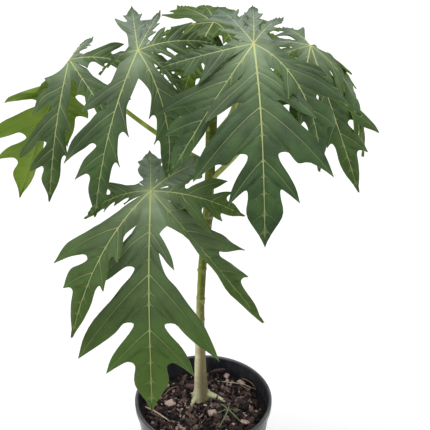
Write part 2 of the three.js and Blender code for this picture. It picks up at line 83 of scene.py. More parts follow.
def grid_faces(rows, columns, wrap=False, start=0):
    """Faces of a grid whose points are stored row by row. With wrap, the last column joins the first."""
    across = columns if wrap else columns - 1
    r, c = np.meshgrid(np.arange(rows - 1), np.arange(across), indexing="ij")
    nxt = (c + 1) % columns
    corners = [r * columns + c, (r + 1) * columns + c, (r + 1) * columns + nxt, r * columns + nxt]
    return np.stack(corners, -1).reshape(-1, 4) + start


def make_piece(name, points, faces, material, weld=0.0, values=None, crease=50):
    """A smooth-shaded mesh object from points in mm, with named numbers kept for each point."""
    mesh = bpy.data.meshes.new(name)
    mesh.from_pydata(np.asarray(points) * MM, [], faces)
    for key, value in (values or {}).items():
        layer = mesh.attributes.new(key, "FLOAT", "POINT")
        layer.data.foreach_set("value", np.asarray(value, dtype=np.float32))
    work = bmesh.new()
    work.from_mesh(mesh)
    if weld:
        bmesh.ops.remove_doubles(work, verts=work.verts, dist=weld * MM)
    bmesh.ops.dissolve_degenerate(work, edges=work.edges, dist=SLIVER)
    work.to_mesh(mesh)
    work.free()
    mesh.shade_smooth()
    mesh.set_sharp_from_angle(angle=math.radians(crease))
    piece = bpy.data.objects.new(name, mesh)
    bpy.context.scene.collection.objects.link(piece)
    mesh.materials.append(material)
    return piece


print("one unit is", MM, "m")

# %% Smooth steps and rolling noise
LATTICE = 64


def smooth_step(x, low, high):
    """0 below low, 1 above high, and an S-shaped rise between them."""
    t = np.clip((np.asarray(x, dtype=float) - low) / (high - low), 0, 1)
    return t * t * (3 - 2 * t)


def soft_noise(x, y, seed):
    """Rolling noise from -1 to 1: random heights on a square lattice, joined by smooth steps."""
    table = np.random.default_rng(seed).uniform(-1, 1, (LATTICE, LATTICE))
    i, j = np.floor(x).astype(int), np.floor(y).astype(int)
    u, v = smooth_step(x - i, 0, 1), smooth_step(y - j, 0, 1)
    left, right, near, back = i % LATTICE, (i + 1) % LATTICE, j % LATTICE, (j + 1) % LATTICE
    low = table[left, near] * (1 - u) + table[right, near] * u
    high = table[left, back] * (1 - u) + table[right, back] * u
    return low * (1 - v) + high * v


print("noise lattice:", LATTICE, "by", LATTICE)

# %% [markdown]
# ## Two effects that many finishes share
# Soft patches of tone and a fine grain turn up on leaf, bark, plastic and peat alike. They could be drawn
# anew in each material, but as two node groups they are built once, and each material places them with its
# own numbers. Both read object coordinates, so they stay put on the piece.

# %% Shared node groups


def new_group(name, inputs, outputs):
    """An empty node group with named sockets. Returns the tree, its input node and its output node."""
    tree = bpy.data.node_groups.new(name, "ShaderNodeTree")
    for socket, kind, default in inputs:
        item = tree.interface.new_socket(socket, in_out="INPUT", socket_type=kind)
        item.default_value = default
    for socket, kind in outputs:
        tree.interface.new_socket(socket, in_out="OUTPUT", socket_type=kind)
    return tree, tree.nodes.new("NodeGroupInput"), tree.nodes.new("NodeGroupOutput")


def stretched_noise(tree, entry):
    """Cloudy noise on object coordinates, which the group's Stretch, Scale and Detail shape."""
    coords = tree.nodes.new("ShaderNodeTexCoord")
    place = tree.nodes.new("ShaderNodeMapping")
    noise = tree.nodes.new("ShaderNodeTexNoise")
    tree.links.new(coords.outputs["Object"], place.inputs["Vector"])
    tree.links.new(entry.outputs["Stretch"], place.inputs["Scale"])
    tree.links.new(place.outputs["Vector"], noise.inputs["Vector"])
    tree.links.new(entry.outputs["Scale"], noise.inputs["Scale"])
    tree.links.new(entry.outputs["Detail"], noise.inputs["Detail"])
    return noise.outputs["Fac"]


def mottle_group():
    """Soft patches: noise below Low gives 0, above High gives 1."""
    floats = [("Scale", 20.0), ("Detail", 3.0), ("Low", 0.4), ("High", 0.7)]
    inputs = [(name, "NodeSocketFloat", value) for name, value in floats]
    inputs.append(("Stretch", "NodeSocketVector", (1, 1, 1)))
    tree, entry, leave = new_group("mottle", inputs, [("Mask", "NodeSocketFloat")])
    band = tree.nodes.new("ShaderNodeMapRange")
    band.interpolation_type = "SMOOTHSTEP"
    tree.links.new(stretched_noise(tree, entry), band.inputs["Value"])
    tree.links.new(entry.outputs["Low"], band.inputs["From Min"])
    tree.links.new(entry.outputs["High"], band.inputs["From Max"])
    tree.links.new(band.outputs["Result"], leave.inputs["Mask"])
    return tree


def grain_group():
    """Fine relief: noise used as a height, turned into a normal."""
    floats = [("Scale", 400.0), ("Detail", 3.0), ("Depth", 0.001), ("Strength", 0.5)]
    inputs = [(name, "NodeSocketFloat", value) for name, value in floats]
    inputs.append(("Stretch", "NodeSocketVector", (1, 1, 1)))
    tree, entry, leave = new_group("grain", inputs, [("Normal", "NodeSocketVector")])
    bump = tree.nodes.new("ShaderNodeBump")
    tree.links.new(stretched_noise(tree, entry), bump.inputs["Height"])
    tree.links.new(entry.outputs["Depth"], bump.inputs["Distance"])
    tree.links.new(entry.outputs["Strength"], bump.inputs["Strength"])
    tree.links.new(bump.outputs["Normal"], leave.inputs["Normal"])
    return tree


MOTTLE = mottle_group()
GRAIN = grain_group()
print("groups:", MOTTLE.name, GRAIN.name)

# %% [markdown]
# ## Node helpers for the finishes
# A finish is a small network: masks mix colours and roughness. These helpers add one node at a time, so each
# finish below reads as a short recipe.

# %% Finish helpers


class Finish:
    """A material with its Principled shader, and short calls that add the usual nodes."""

    def __init__(self, name):
        self.material = bpy.data.materials.new(name)
        self.material.use_nodes = True
        self.nodes = self.material.node_tree.nodes
        self.links = self.material.node_tree.links
        self.shader = self.nodes["Principled BSDF"]

    def value(self, name):
        """The number stored on the mesh under that name."""
        node = self.nodes.new("ShaderNodeAttribute")
        node.attribute_name = name
        return node.outputs["Fac"]

    def placed(self, tree, values):
        """One of the shared groups, with its own values."""
        node = self.nodes.new("ShaderNodeGroup")
        node.node_tree = tree
        for key, number in values.items():
            node.inputs[key].default_value = number
        return node.outputs[0]

    def mottle(self, scale, low, high, detail=3.0, stretch=(1, 1, 1)):
        """Soft patches with that many lumps in a metre."""
        values = dict(Scale=scale, Low=low, High=high, Detail=detail, Stretch=stretch)
        return self.placed(MOTTLE, values)

    def grain(self, scale, depth, strength, detail=3.0, stretch=(1, 1, 1)):
        """Fine relief on the shader's normal."""
        values = dict(Scale=scale, Depth=depth, Strength=strength, Detail=detail, Stretch=stretch)
        self.links.new(self.placed(GRAIN, values), self.shader.inputs["Normal"])

    def cell_edges(self, scale):
        """How far the point is from the nearest wall between random cells, in cell widths."""
        coords = self.nodes.new("ShaderNodeTexCoord")
        cells = self.nodes.new("ShaderNodeTexVoronoi")
        cells.feature = "DISTANCE_TO_EDGE"
        cells.inputs["Scale"].default_value = scale
        self.links.new(coords.outputs["Object"], cells.inputs["Vector"])
        return cells.outputs["Distance"]

    def band(self, source, low, high, start=0.0, end=1.0):
        """Maps source from low..high to start..end, smoothly and clamped."""
        node = self.nodes.new("ShaderNodeMapRange")
        node.interpolation_type = "SMOOTHSTEP"
        for key, number in zip(("From Min", "From Max", "To Min", "To Max"), (low, high, start, end)):
            node.inputs[key].default_value = number
        self.links.new(source, node.inputs["Value"])
        return node.outputs["Result"]

    def math(self, operation, a, b):
        """One sum or product of two numbers or sockets."""
        node = self.nodes.new("ShaderNodeMath")
        node.operation = operation
        for socket, item in zip(node.inputs, (a, b)):
            if isinstance(item, (int, float)):
                socket.default_value = item
            else:
                self.links.new(item, socket)
        return node.outputs["Value"]

    def mix(self, share, first, second):
        """Mixes two colours, each a socket or an (r, g, b) triple.

        A Mix node keeps sockets for numbers, vectors and colours: 0 is the share, 6 and 7 are the colours.
        """
        node = self.nodes.new("ShaderNodeMix")
        node.data_type = "RGBA"
        for socket, item in ((node.inputs[0], share), (node.inputs[6], first), (node.inputs[7], second)):
            if isinstance(item, (int, float)):
                socket.default_value = item
            elif isinstance(item, tuple):
                socket.default_value = (*item, 1)
            else:
                self.links.new(item, socket)
        return node.outputs[2]

    def ramp(self, source, stops):
        """Colours picked along source by a list of (position, colour)."""
        node = self.nodes.new("ShaderNodeValToRGB")
        elements = node.color_ramp.elements
        while len(elements) < len(stops):
            elements.new(1)
        for element, (position, colour) in zip(elements, stops):
            element.position = position
            element.color = (*colour, 1)
        self.links.new(source, node.inputs["Fac"])
        return node.outputs["Color"]

    def height(self):
        """How high above the floor the point is, in metres."""
        coords = self.nodes.new("ShaderNodeTexCoord")
        split = self.nodes.new("ShaderNodeSeparateXYZ")
        self.links.new(coords.outputs["Object"], split.inputs["Vector"])
        return split.outputs["Z"]

    def paint(self, colour, roughness, specular=0.5):
        """Sets the shader's colour, roughness and specular level, and returns the material."""
        colour = (*colour, 1) if isinstance(colour, tuple) else colour
        for key, item in (("Base Color", colour), ("Roughness", roughness), ("Specular IOR Level", specular)):
            if isinstance(item, (int, float, tuple)):
                self.shader.inputs[key].default_value = item
            else:
                self.links.new(item, self.shader.inputs[key])
        return self.material


print("finish helpers ready")

# %% [markdown]
# ## The leaf's finish
# A papaya leaf is deep green in soft patches, with pale yellow veins and a pale bloom round its hub, which
# is partly the leaf's own bloom and partly painted sheen. Young and shaded leaves are yellower, and on the
# rear leaf this yellow is partly painted light shining through it. Lobes that lie flat get a painted grey
# sheen of reflected sky, a net of veinlets covers everything, and painted shade darkens the blade beside the
# veins. The underside is a lighter, yellower green, partly its own colour and partly painted light shining
# through the leaf. All this could be one painted picture, but a picture blurs up close and fits one shape
# only. Here the mesh keeps for each point how far it is from the nearest vein, in vein widths, so a vein is
# as sharp as the surface it lies on. In the same way it keeps how much bloom and painted sheen, and how much
# yellow each point has, and the nodes turn these numbers into colour.

# %% Leaf finish
LEAF_DEEP = (0.016, 0.038, 0.013)
LEAF_GREEN = (0.044, 0.094, 0.027)
# The yellow is the leaf's own colour, and on the rear leaf partly painted light shining through it.
LEAF_YELLOW = (0.078, 0.140, 0.001)
# The grey is a painted sheen of reflected sky. The bloom is partly the hub's own bloom and partly painted
# sheen.
LEAF_PAINTED_SHEEN = (0.240, 0.300, 0.255)
LEAF_BLOOM_AND_SHEEN = (0.320, 0.410, 0.260)
# The lighter underside is partly its own colour and partly painted light shining through the leaf.
LEAF_UNDER = (0.120, 0.205, 0.010)
LEAF_UNDER_PALE = (0.160, 0.250, 0.016)
VEIN_TOP = (0.520, 0.560, 0.230)
VEIN_UNDER = (0.300, 0.390, 0.070)
NET_GREEN = (0.150, 0.240, 0.095)
NET_SCALE = 460
LEAF_SHINE = 0.19


def leaf_finish():
    """Green in soft patches, then yellow, the painted grey sky sheen and the hub's bloom with painted sheen
    over it, the underside, the net, painted shade beside the veins, and the veins.
    """
    f = Finish("papaya_leaf")
    clouds = f.mottle(26, 0.34, 0.66, detail=5)
    top = f.mix(clouds, LEAF_DEEP, LEAF_GREEN)
    # Yellow: the leaf's own colour, and on the rear leaf partly painted light shining through it.
    yellow = f.value("yellow")
    top = f.mix(f.math("MULTIPLY", yellow, 0.8), top, LEAF_YELLOW)
    patches = f.mottle(60, 0.25, 0.75, detail=5)
    # Painted sheen: grey reflected sky on lobes that lie flat, in patches.
    top = f.mix(f.math("MULTIPLY", f.value("painted_sheen"), f.band(patches, 0, 1, 0.5, 1.0)), top, LEAF_PAINTED_SHEEN)
    # The hub's pale bloom is partly the leaf's own and partly painted sheen.
    bloom = f.math("MULTIPLY", f.value("hub"), f.band(patches, 0, 1, 0.75, 1.0))
    top = f.mix(bloom, top, LEAF_BLOOM_AND_SHEEN)
    # The lighter underside is partly its own colour and partly painted light shining through the leaf.
    below = f.mix(clouds, LEAF_UNDER, LEAF_UNDER_PALE)
    under = f.value("under")
    skin = f.mix(under, top, below)
    veins = f.mix(f.math("MULTIPLY", yellow, 0.45), VEIN_TOP, VEIN_UNDER)
    veins = f.mix(under, veins, VEIN_UNDER)
    net = f.band(f.cell_edges(NET_SCALE), 0.02, 0.14, 0.10, 0.0)
    skin = f.mix(net, skin, NET_GREEN)
    vein = f.value("vein")
    line = f.band(vein, 0.6, 1.4, 1.0, 0.0)
    # Painted shade: the blade darkens beside each vein, less where the hub is pale.
    shade = f.band(vein, 1.0, 6.0, 0.25, 0.0)
    skin = f.mix(f.math("MULTIPLY", shade, f.math("SUBTRACT", 1, bloom)), skin, LEAF_DEEP)
    colour = f.mix(f.math("MULTIPLY", line, f.value("clear")), skin, veins)
    f.grain(430, 0.0012, 0.6, detail=4)
    return f.paint(colour, f.mottle(60, -0.6, 1.6, detail=3), LEAF_SHINE)


leaf_material = leaf_finish()
print("leaf finish:", len(leaf_material.node_tree.nodes), "nodes")

# %% [markdown]
# ## The leaf's outline
# A lobe of a papaya leaf is cut again into pointed teeth. Its outline could be traced from a leaf point by
# point, but teeth follow the same few patterns. So one side of a lobe is written as a short row of marks, in
# shares of the lobe's length: where the side vein leaves the midrib, how far forward and how far sideways
# the margin is, and whether the mark is a pointed tip. A curve through the marks rounds the gaps and keeps
# the tips sharp.

# %% Margins of the six kinds of lobe side
MAIN_SIDE = [
    (0.125, 0.235, 0.105, 0), (0.140, 0.270, 0.150, 0), (0.155, 0.320, 0.198, 0), (0.168, 0.370, 0.230, 0),
    (0.180, 0.430, 0.245, 1), (0.205, 0.395, 0.180, 0), (0.230, 0.360, 0.135, 0), (0.255, 0.338, 0.100, 0),
    (0.285, 0.345, 0.066, 0), (0.305, 0.385, 0.088, 0), (0.320, 0.430, 0.132, 0), (0.330, 0.500, 0.185, 0),
    (0.345, 0.580, 0.242, 0), (0.357, 0.680, 0.288, 0), (0.368, 0.765, 0.312, 1), (0.405, 0.690, 0.222, 0),
    (0.445, 0.635, 0.162, 0), (0.485, 0.590, 0.118, 0), (0.525, 0.592, 0.070, 0), (0.555, 0.640, 0.095, 0),
    (0.575, 0.700, 0.143, 0), (0.595, 0.760, 0.178, 0), (0.615, 0.830, 0.200, 1), (0.660, 0.785, 0.138, 0),
    (0.700, 0.765, 0.098, 0), (0.745, 0.785, 0.072, 0), (0.800, 0.850, 0.080, 0), (0.880, 0.920, 0.052, 0),
]
TOOTHED_SIDE = [
    (0.170, 0.320, 0.136, 0), (0.205, 0.430, 0.208, 0), (0.240, 0.510, 0.265, 0), (0.270, 0.590, 0.305, 0),
    (0.300, 0.660, 0.325, 1), (0.350, 0.605, 0.240, 0), (0.400, 0.560, 0.175, 0), (0.450, 0.530, 0.120, 0),
    (0.500, 0.550, 0.083, 0), (0.535, 0.595, 0.110, 0), (0.560, 0.640, 0.155, 0), (0.580, 0.700, 0.175, 0),
    (0.600, 0.765, 0.175, 1), (0.655, 0.740, 0.115, 0), (0.700, 0.750, 0.080, 0), (0.780, 0.825, 0.070, 0),
    (0.880, 0.915, 0.045, 0),
]
SLENDER_SIDE = [
    (0.170, 0.275, 0.070, 0), (0.220, 0.335, 0.062, 0), (0.270, 0.400, 0.092, 0), (0.310, 0.490, 0.130, 1),
    (0.360, 0.470, 0.085, 0), (0.420, 0.500, 0.064, 0), (0.470, 0.570, 0.085, 0), (0.520, 0.670, 0.120, 1),
    (0.580, 0.650, 0.085, 0), (0.640, 0.690, 0.064, 0), (0.750, 0.800, 0.066, 0), (0.880, 0.910, 0.042, 0),
]
REAR_SIDE = [
    (0.190, 0.330, 0.110, 0), (0.250, 0.430, 0.165, 0), (0.300, 0.540, 0.215, 0), (0.340, 0.640, 0.240, 1),
    (0.400, 0.590, 0.165, 0), (0.460, 0.565, 0.105, 0), (0.520, 0.600, 0.085, 0), (0.570, 0.670, 0.105, 0),
    (0.620, 0.770, 0.130, 1), (0.690, 0.750, 0.085, 0), (0.800, 0.840, 0.060, 0),
]
PLAIN_SIDE = [
    (0.160, 0.240, 0.110, 0), (0.220, 0.310, 0.150, 0), (0.270, 0.370, 0.180, 0), (0.320, 0.430, 0.195, 0),
    (0.370, 0.490, 0.172, 0), (0.420, 0.550, 0.165, 0), (0.470, 0.610, 0.180, 0), (0.520, 0.670, 0.185, 0),
    (0.580, 0.695, 0.145, 0), (0.640, 0.720, 0.120, 0), (0.720, 0.785, 0.102, 0), (0.800, 0.850, 0.075, 0),
]
CURLED_SIDE = [
    (0.200, 0.300, 0.048, 0), (0.350, 0.450, 0.036, 0), (0.500, 0.600, 0.048, 0), (0.650, 0.740, 0.056, 0),
    (0.850, 0.900, 0.034, 0),
]
print("marks on the side of a main lobe:", len(MAIN_SIDE))

# %% Lobe kinds


def changed_tooth(marks, low, high, forward, sideways):
    """The same margin with the marks between two vein shares moved: one tooth shortened and narrowed."""
    table = np.array(marks)
    inside = (table[:, 0] > low) & (table[:, 0] < high)
    table[inside, 1] *= forward
    table[inside, 2] *= sideways
    return table.tolist()


SHORT_SIDE = changed_tooth(MAIN_SIDE, 0.12, 0.26, 0.82, 0.46)
TAPERED_SIDE = changed_tooth(changed_tooth(MAIN_SIDE, 0.55, 0.72, 0.98, 0.78), 0.3, 0.43, 0.92, 0.97)
LOBE_SIDES = {
    "main": (MAIN_SIDE, MAIN_SIDE),
    "wide": (MAIN_SIDE, MAIN_SIDE),
    "crown": (TAPERED_SIDE, TAPERED_SIDE),
    "front": (SHORT_SIDE, MAIN_SIDE),
    "half_right": (SLENDER_SIDE, MAIN_SIDE),
    "left": (TOOTHED_SIDE, SLENDER_SIDE),
    "right": (SLENDER_SIDE, TOOTHED_SIDE),
    "left_curled": (TOOTHED_SIDE, CURLED_SIDE),
    "right_curled": (CURLED_SIDE, TOOTHED_SIDE),
    "rear": (REAR_SIDE, REAR_SIDE),
    "slim": (SLENDER_SIDE, SLENDER_SIDE),
    "plain": (PLAIN_SIDE, PLAIN_SIDE),
    "full": (MAIN_SIDE, TOOTHED_SIDE),
    "half_left": (MAIN_SIDE, CURLED_SIDE),
}
BROAD_KINDS = {"main", "crown", "front", "half_right", "half_left"}
print("marks on the left side of each kind:", {kind: len(sides[0]) for kind, sides in LOBE_SIDES.items()})

# %% [markdown]
# ## The eight leaves
# Each leaf is named by its node in the solid model and repeats the same few sizes: the hub where the stalk
# meets the blade, the height at which the stalk leaves the trunk, how much a lobe's halves slope away from
# the midrib, and for each lobe its heading, slope at the hub, bend to the tip, length and kind. Some lobes
# have a sixth number: they turn about their own midrib, and one so far that its underside shows. Copies of
# one leaf would be quicker, but no two leaves of a young papaya hang alike. How yellow a leaf is, and how
# much bloom and painted sheen it has, are numbers for its finish; the rear leaf's yellow is partly painted
# light shining through it.

# %% Leaf sizes
LEAVES = {
    "front_low": dict(hub=(-60, -95, 590), stalk=508, fold=6, yellow=0.50, bloom=1.1, lobes=[
        (268, -50, 26, 270, "front"), (338, -45, 4, 214, "left_curled"), (8, -6, 30, 124, "full", 35),
        (46, 17, 30, 108, "plain", 30), (92, 27, 36, 80, "plain"), (172, -4, 50, 98, "right", -30),
        (230, -16, 54, 204, "right")]),
    "right": dict(hub=(132, 0, 737), stalk=536, fold=12, yellow=0.30, bloom=0.75, lobes=[
        (299, -50, 8, 186, "left"), (354, -34, 60, 170, "main"), (40, -26, 56, 150, "left"),
        (82, -15, 60, 120, "left"), (116, 14, 42, 90, "rear"), (160, 6, 22, 74, "rear"),
        (212, 2, 28, 96, "right"), (260, -10, 12, 150, "right")]),
    "far_left": dict(hub=(-170, 70, 690), stalk=558, fold=14, yellow=0.30, bloom=0.85, lobes=[
        (161, -64, 4, 240, "half_left", 100), (244, -58, 20, 188, "half_right"), (298, -12, 8, 142, "left"),
        (0, 14, 48, 100, "left", 35), (70, 12, 20, 74, "slim"), (108, -36, 60, 184, "right")]),
    "front_top": dict(hub=(60, -90, 775), stalk=580, fold=4, yellow=0.05, bloom=1.0, lobes=[
        (274, -18, 50, 242, "crown"), (312, -1, 92, 178, "left"), (352, -28, 10, 148, "left"),
        (62, 20, 38, 84, "slim"), (88, 26, 38, 90, "slim"), (116, 17, 23, 98, "wide"),
        (188, -9, 8, 112, "left", -30), (234, -28, 8, 186, "right_curled")]),
    "back_right": dict(hub=(95, 130, 680), stalk=596, fold=10, yellow=0.30, bloom=0.5, lobes=[
        (60, -24, 70, 200, "main"), (104, -18, 70, 176, "left"), (146, -4, 66, 140, "left"),
        (190, 12, 60, 96, "rear"), (240, 22, 60, 76, "rear"), (290, 18, 60, 90, "rear"),
        (334, -4, 66, 140, "right"), (16, -18, 70, 176, "right")]),
    "top_left": dict(hub=(-73, -40, 747), stalk=610, fold=8, yellow=0.15, bloom=0.95, lobes=[
        (236, -46, 32, 205, "half_right"), (306, -28, 90, 172, "left"), (344, -20, 52, 88, "left"),
        (22, 14, 36, 100, "wide", 35), (70, 24, 10, 74, "slim"), (99, 28, 30, 92, "rear"),
        (166, -12, 50, 62, "rear")]),
    # The rear leaf's full yellow is partly painted light shining through it.
    "back_top": dict(hub=(15, 100, 729), stalk=622, fold=10, yellow=1.0, bloom=0.2, lobes=[
        (94, -5, 14, 150, "main"), (116, 0, 18, 124, "left"), (200, 6, 30, 82, "left"),
        (252, -8, 32, 136, "wide"), (288, 18, 46, 96, "rear"), (334, 10, 50, 96, "rear"),
        (16, 0, 50, 120, "right"), (54, -6, 24, 140, "right")]),
    "young": dict(hub=(46, 18, 670), stalk=640, fold=16, yellow=0.70, bloom=0.4, lobes=[
        (336, 30, 50, 66, "main"), (24, 34, 50, 58, "left"), (70, 38, 50, 48, "rear"),
        (124, 40, 50, 40, "rear"), (188, 40, 50, 40, "rear"), (242, 38, 50, 48, "rear"),
        (288, 34, 50, 58, "right")]),
}
print("lobes:", {name: len(leaf["lobes"]) for name, leaf in LEAVES.items()})

# %% [markdown]
# ## How a lobe bends in space
# A lobe could be modelled flat and bent with a lattice, but then its veins would slide. Here the bend is part
# of the formula: the midrib is an arc of a circle in an upright plane, each half of the blade slopes down
# from it, and near the hub the surface is shared with the neighbouring lobe, so that the lobes grow out of
# one web.

# %% Place of a point on a lobe
UP = np.array([0, 0, 1.0])
CREASE = 2.0
TWIST_REACH = (0, 0.22)
SWEEP_REACH = (0.25, 1.15)
WEB_FADE = 2.1
TWISTED_WEB_FADE = 1.2


def lobe_place(lobe, along, aside, foot=None):
    """The point that far along the midrib and aside of it, and the blade's normal there.

    The slope falls evenly along the midrib, so its run and climb are differences of sines and cosines over
    the rate of bending. A twisted lobe turns about its midrib, and the blade on a side vein keeps the turn
    that the midrib has at the vein's foot. The half blade drops away from the midrib by the fold angle, with
    a soft crease.
    """
    rate = lobe["bend"] / lobe["length"]
    slope = lobe["rise"] - rate * along
    run = (np.sin(lobe["rise"]) - np.sin(slope)) / rate
    climb = (np.cos(slope) - np.cos(lobe["rise"])) / rate
    out = np.array([np.cos(lobe["heading"]), np.sin(lobe["heading"]), 0])
    level = np.array([-out[1], out[0], 0])
    steep = -np.sin(slope)[..., None] * out + np.cos(slope)[..., None] * UP
    foot = along if foot is None else foot
    turn = (lobe["twist"] * smooth_step(foot / lobe["length"], *TWIST_REACH))[..., None]
    across = level * np.cos(turn) + steep * np.sin(turn)
    normal = steep * np.cos(turn) - level * np.sin(turn)
    drop = np.sqrt(aside**2 + CREASE**2) - CREASE
    sweep = lobe["sweep"] * lobe["length"] * smooth_step(along / lobe["length"], *SWEEP_REACH)
    beside = aside * np.cos(lobe["fold"]) + sweep
    place = np.array(lobe["hub"]) + run[..., None] * out + climb[..., None] * UP + beside[..., None] * across
    return place - (drop * np.sin(lobe["fold"]))[..., None] * normal, normal


def shared_place(lobe, neighbour, turn, sinus, along, aside, foot):
    """lobe_place mixed with the neighbour's, which stands at that turn from the lobe.

    The mix is half and half on the line between the two lobes inside the web. It is less towards the lobe's
    own midrib, and it fades out past the sinus, where the web ends.
    """
    own, own_normal = lobe_place(lobe, along, aside, foot)
    along2 = along * np.cos(turn) + aside * np.sin(turn)
    aside2 = aside * np.cos(turn) - along * np.sin(turn)
    other, other_normal = lobe_place(neighbour, along2, aside2)
    angle = np.arctan2(np.abs(aside), np.maximum(along, 1e-6))
    fade = TWISTED_WEB_FADE if lobe["twist"] else WEB_FADE
    share = 0.5 * np.clip(2 * angle / abs(turn), 0, 1) ** 2
    share = (share * (1 - smooth_step(np.hypot(along, aside) / sinus, 1.0, fade)))[..., None]
    return own * (1 - share) + other * share, own_normal * (1 - share) + other_normal * share


sample = dict(hub=(0, 0, 0), heading=0, rise=0, bend=math.radians(60), length=100, fold=0, twist=0, sweep=0)
sample_tip = lobe_place(sample, np.array([100.0]), np.zeros(1))[0][0]
print("a level lobe of 100 mm that bends by 60 degrees ends at", np.round(sample_tip, 1).tolist())

# %% [markdown]
# ## Curves through marks, and distances to veins
# Blender's own curves could carry the margin, but the rows of the blade need its points as plain arrays. A
# cubic curve through the marks is a short formula, and so is the distance from a point to a path.

# %% Margin curve and distance


def margin_curve(marks, length, start, per_mark):
    """Points (vein, forward, sideways) on a cubic curve through the marks, and the marks that are tips.

    At a plain mark the curve runs along the line from the mark before to the mark after. At a tip it arrives
    and leaves straight, which keeps the tip sharp.
    """
    rows = [(0.1, start[0] / length, start[1] / length, 0)] + list(marks) + [(1, 1, 0, 1)]
    table = np.array(rows, dtype=float)
    knots, tip = table[:, :3], table[:, 3] > 0
    before, after = np.diff(knots, axis=0, prepend=knots[:1]), np.diff(knots, axis=0, append=knots[-1:])
    middle = (before + after) / 2
    leave = np.where(tip[:, None], after, middle)[:-1]
    arrive = np.where(tip[:, None], before, middle)[1:]
    leave[0] = after[0]
    t = np.linspace(0, 1, per_mark, endpoint=False)[:, None, None]
    curve = (2 * t**3 - 3 * t**2 + 1) * knots[:-1] + (t**3 - 2 * t**2 + t) * leave
    curve = curve + (3 * t**2 - 2 * t**3) * knots[1:] + (t**3 - t**2) * arrive
    curve = curve.transpose(1, 0, 2).reshape(-1, 3)
    curve[:, 0] = np.maximum.accumulate(curve[:, 0])
    return np.vstack([curve, [[1, 1, 0]]]), knots[tip][:-1]


def distance_to_path(points, path):
    """Shortest distance in the plane from every point to a path of straight stretches."""
    best = np.full(points.shape[:-1], np.inf)
    for a, b in zip(path[:-1], path[1:]):
        d = b - a
        t = np.clip(((points - a) @ d) / max(d @ d, 1e-9), 0, 1)
        best = np.minimum(best, np.linalg.norm(points - a - t[..., None] * d, axis=-1))
    return best


print("points on a main margin:", len(margin_curve(MAIN_SIDE, 100, (20, 20), 3)[0]))

# %% [markdown]
# ## One half of a lobe as a grid
# The rows follow the side veins from midrib to margin, and the columns run from the midrib out. A plain
# square grid would be simpler, but here the edges of the mesh lie on the veins, so the ridges on them stay
# crisp. Three columns stand close to the midrib to carry its ridge.

# %% Rows and columns
COLUMNS = 11
PER_MARK = 3
WEB_ROWS = 4
RIB_STEPS = np.array([0, 0.8, 1.7, 3.2])
VEIN_BOW = 0.22
MARGIN_WANDER = 0.07
TIP_TAPER = 0.35
SINUS_NEAR_MAIN = 0.20
SINUS_ELSEWHERE = 0.24
SINUS_WIDE_GAP = 0.14
WIDE_GAP = math.radians(84)


def web_reach(lobe, neighbour, gap):
    """How far from the hub the web between two lobes ends: a share of their mean length."""
    if gap > WIDE_GAP:
        share = SINUS_WIDE_GAP
    elif BROAD_KINDS & {lobe["kind"], neighbour["kind"]}:
        share = SINUS_NEAR_MAIN
    else:
        share = SINUS_ELSEWHERE
    return share * (lobe["length"] + neighbour["length"]) / 2


def half_lobe_rows(lobe, side, start, seed):
    """Rows (vein, forward, sideways) in shares of the lobe's length, and the tips of the teeth.

    The first rows lie in the web. The margin wanders a little in and out, and the lobe's end is narrowed.
    """
    length = lobe["length"]
    curve, tips = margin_curve(LOBE_SIDES[lobe["kind"]][0 if side > 0 else 1], length, start, PER_MARK)
    web = np.repeat([[0.0, start[0] / length, start[1] / length]], WEB_ROWS, axis=0)
    web[:, 0] = np.linspace(0, 0.1, WEB_ROWS, endpoint=False)
    rows = np.vstack([web, curve])
    wander = soft_noise(rows[:, 0] * 9 + seed, rows[:, 2] * 7, seed) * smooth_step(rows[:, 0], 0.14, 0.3)
    rows[:, 2] *= 1 + MARGIN_WANDER * wander
    rows[:, 2] *= 1 - TIP_TAPER * smooth_step(rows[:, 1], 0.86, 0.98)
    return rows, tips


def column_shares(width):
    """Where the columns cross each row, from 0 at the midrib to 1 at the margin: close steps, then even."""
    even = np.linspace(0, 1, COLUMNS)[None, :]
    close = np.minimum(RIB_STEPS[None, :] / np.maximum(width, 1e-6), even[:, : len(RIB_STEPS)])
    rest = np.linspace(0, 1, COLUMNS - len(RIB_STEPS) + 1)[None, 1:]
    return np.hstack([close, close[:, -1:] + (1 - close[:, -1:]) * rest])


def flat_grid(rows, length, t):
    """Flat places along and beside the midrib. Each row leaves it steeply and bows towards the lobe's tip."""
    vein, forward, sideways = rows.T[:, :, None]
    bow = VEIN_BOW * smooth_step(vein, 0.0, 0.16) * (1 - smooth_step(vein, 0.85, 1.0))
    along = vein * length + (forward * length - vein * length) * (t - bow * t * (1 - t))
    return along, sideways * length * t


print("half lobe:", COLUMNS, "columns")

# %% [markdown]
# ## Where the veins run
# Each tooth is fed by a side vein, and weaker veins run between. They could be separate threads laid on the
# blade, but a ridge in the same skin takes the light as the real one does. So the grid rows nearest to the
# wanted places are the veins, and every point keeps its distance to them in half widths of the vein.

# %% Veins
WEAK_VEINS = (0.145, 0.235, 0.300, 0.440, 0.500, 0.690, 0.770, 0.850, 0.920)
STRONG_WIDTH = (0.50, 0.20)
WEAK_WIDTH = (0.34, 0.14)
RIB_WIDTH = (1.15, 0.85, 0.28)
RIB_STATIONS = (0, 0.15, 1)
RIB_LENGTH = 250


def vein_rows(starts, wanted, taken=()):
    """The grid rows nearest to the wanted starts, without a row that touches one already taken."""
    kept = list(taken)
    for share in wanted:
        row = int(np.argmin(np.abs(starts - share)))
        if all(abs(row - other) > 1 for other in kept):
            kept.append(row)
    return kept[len(taken):]


